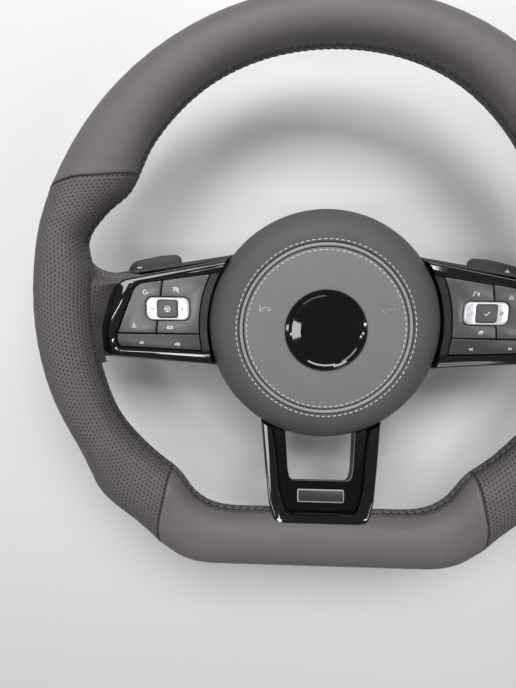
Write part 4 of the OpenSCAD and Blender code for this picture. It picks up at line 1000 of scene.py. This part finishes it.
for side, k in (("left", -1), ("right", 1)):
    strokes("sign_horn_" + side, [[(-k * x, y) for x, y in line] for line in HORN], (k * 39.3, 5.2),
            COVER_TOP + 0.62, 0.42, bright_foil, "airbag_module", 1.1)
print("signs placed")

# %% [markdown]
# ## Floor and light
# The wheel lies on a white, faintly glossy board. A wide soft lamp stands beyond the top of the rim, so the
# inner flanks of the grips fall into shade and the flat black trim mirrors a dark room, not the lamp. Two
# weaker lamps and a dim room fill the shadows, and a small lamp gives the emblem and the plated rockers
# their sheen. Three narrow lamps draw the streaks on the black trim: bright but thin, they add little to the
# light on the leather. Far from the wheel the board fades into the pale background.

# %% Floor
FLOOR_Z = -14.0
BACKGROUND, BACKGROUND_STRENGTH = "#e4e4e5", 0.9


def floor():
    made, tree, shader = new_material("white coated board", "#d0cfcf", 0.4, Specular_IOR_Level=0.3)
    place = add_node(tree, "TexCoord", {})
    cloud = add_node(tree, "TexNoise", {"Vector": place.outputs["Object"], "Scale": 3.0, "Detail": 2.0})
    gloss = add_node(tree, "MapRange", {"Value": cloud.outputs["Fac"], "To Min": 0.34, "To Max": 0.46})
    tree.links.new(gloss.outputs["Result"], shader.inputs["Roughness"])
    reach_out = add_node(tree, "VectorMath", {0: place.outputs["Object"]}, operation="LENGTH")
    far = add_node(tree, "MapRange", {"Value": reach_out.outputs["Value"], "From Min": 0.7, "From Max": 2.2})
    ray = add_node(tree, "LightPath", {})
    share = add_node(tree, "Math", {0: far.outputs["Result"], 1: ray.outputs["Is Camera Ray"]},
                     operation="MULTIPLY")
    pale = add_node(tree, "Emission", {"Color": linear(BACKGROUND), "Strength": BACKGROUND_STRENGTH})
    fade = add_node(tree, "MixShader", {0: share.outputs[0], 1: shader.outputs[0], 2: pale.outputs[0]})
    tree.links.new(fade.outputs[0], tree.nodes["Material Output"].inputs["Surface"])
    mesh = bpy.data.meshes.new("floor")
    reach, z = 6.0, FLOOR_Z / 1000
    corners = [(-reach, -reach, z), (reach, -reach, z), (reach, reach, z), (-reach, reach, z)]
    mesh.from_pydata(corners, [], [(0, 1, 2, 3)])
    mesh.materials.append(made)
    sheet = bpy.data.objects.new("floor", mesh)
    bpy.context.scene.collection.objects.link(sheet)
    return sheet


floor()
print("floor at", FLOOR_Z, "mm")

# %% [markdown]
# A lamp here is a glowing rectangle. It has a place, a point it looks at, a width and height in metres, and a
# power in watts. A small one makes crisp streaks, a wide one soft shade.

# %% Lamps and room
def lamp(name, at, aim, width, height, watts):
    data = bpy.data.lights.new(name, "AREA")
    data.shape, data.size, data.size_y = "RECTANGLE", width, height
    data.energy = watts
    made = bpy.data.objects.new(name, data)
    bpy.context.scene.collection.objects.link(made)
    made.matrix_world = (Matrix.Translation(at)
                         @ (Vector(at) - Vector(aim)).to_track_quat("Z", "Y").to_matrix().to_4x4())
    return made


lamp("key_lamp", (0.14, 0.82, 1.15), (0, 0, 0), 1.0, 0.5, 17.5)
lamp("second_lamp", (-0.6, 0.5, 1.15), (0, 0, 0), 0.5, 0.45, 4)
lamp("low_lamp", (0.45, -1.0, 1.1), (0, 0, 0), 0.6, 0.5, 2)
lamp("sheen_lamp", (-0.31, -0.18, 1.2), (-0.1, 0, 0.05), 0.24, 0.2, 1.7)
lamp("streak_lamp_left", (-0.75, -0.1, 0.7), (0, 0, 0.05), 0.04, 0.7, 1.6)
lamp("streak_lamp_top", (-0.4, 0.95, 0.8), (0, 0, 0.05), 0.5, 0.04, 0.8)
lamp("streak_lamp_right", (0.65, -0.1, 0.8), (0, 0, 0.05), 0.03, 0.5, 1.0)
world = bpy.data.worlds.new("room")
world.use_nodes = True
tree = world.node_tree
seen = add_node(tree, "Background", {"Color": linear(BACKGROUND), "Strength": BACKGROUND_STRENGTH})
felt = tree.nodes["Background"]
felt.inputs["Color"].default_value = linear("#eceef0")
felt.inputs["Strength"].default_value = 0.19
path = add_node(tree, "LightPath", {})
either = add_node(tree, "MixShader", {0: path.outputs["Is Camera Ray"], 1: felt.outputs[0],
                                      2: seen.outputs[0]})
tree.links.new(either.outputs[0], tree.nodes["World Output"].inputs["Surface"])
bpy.context.scene.world = world
print("lamps on")
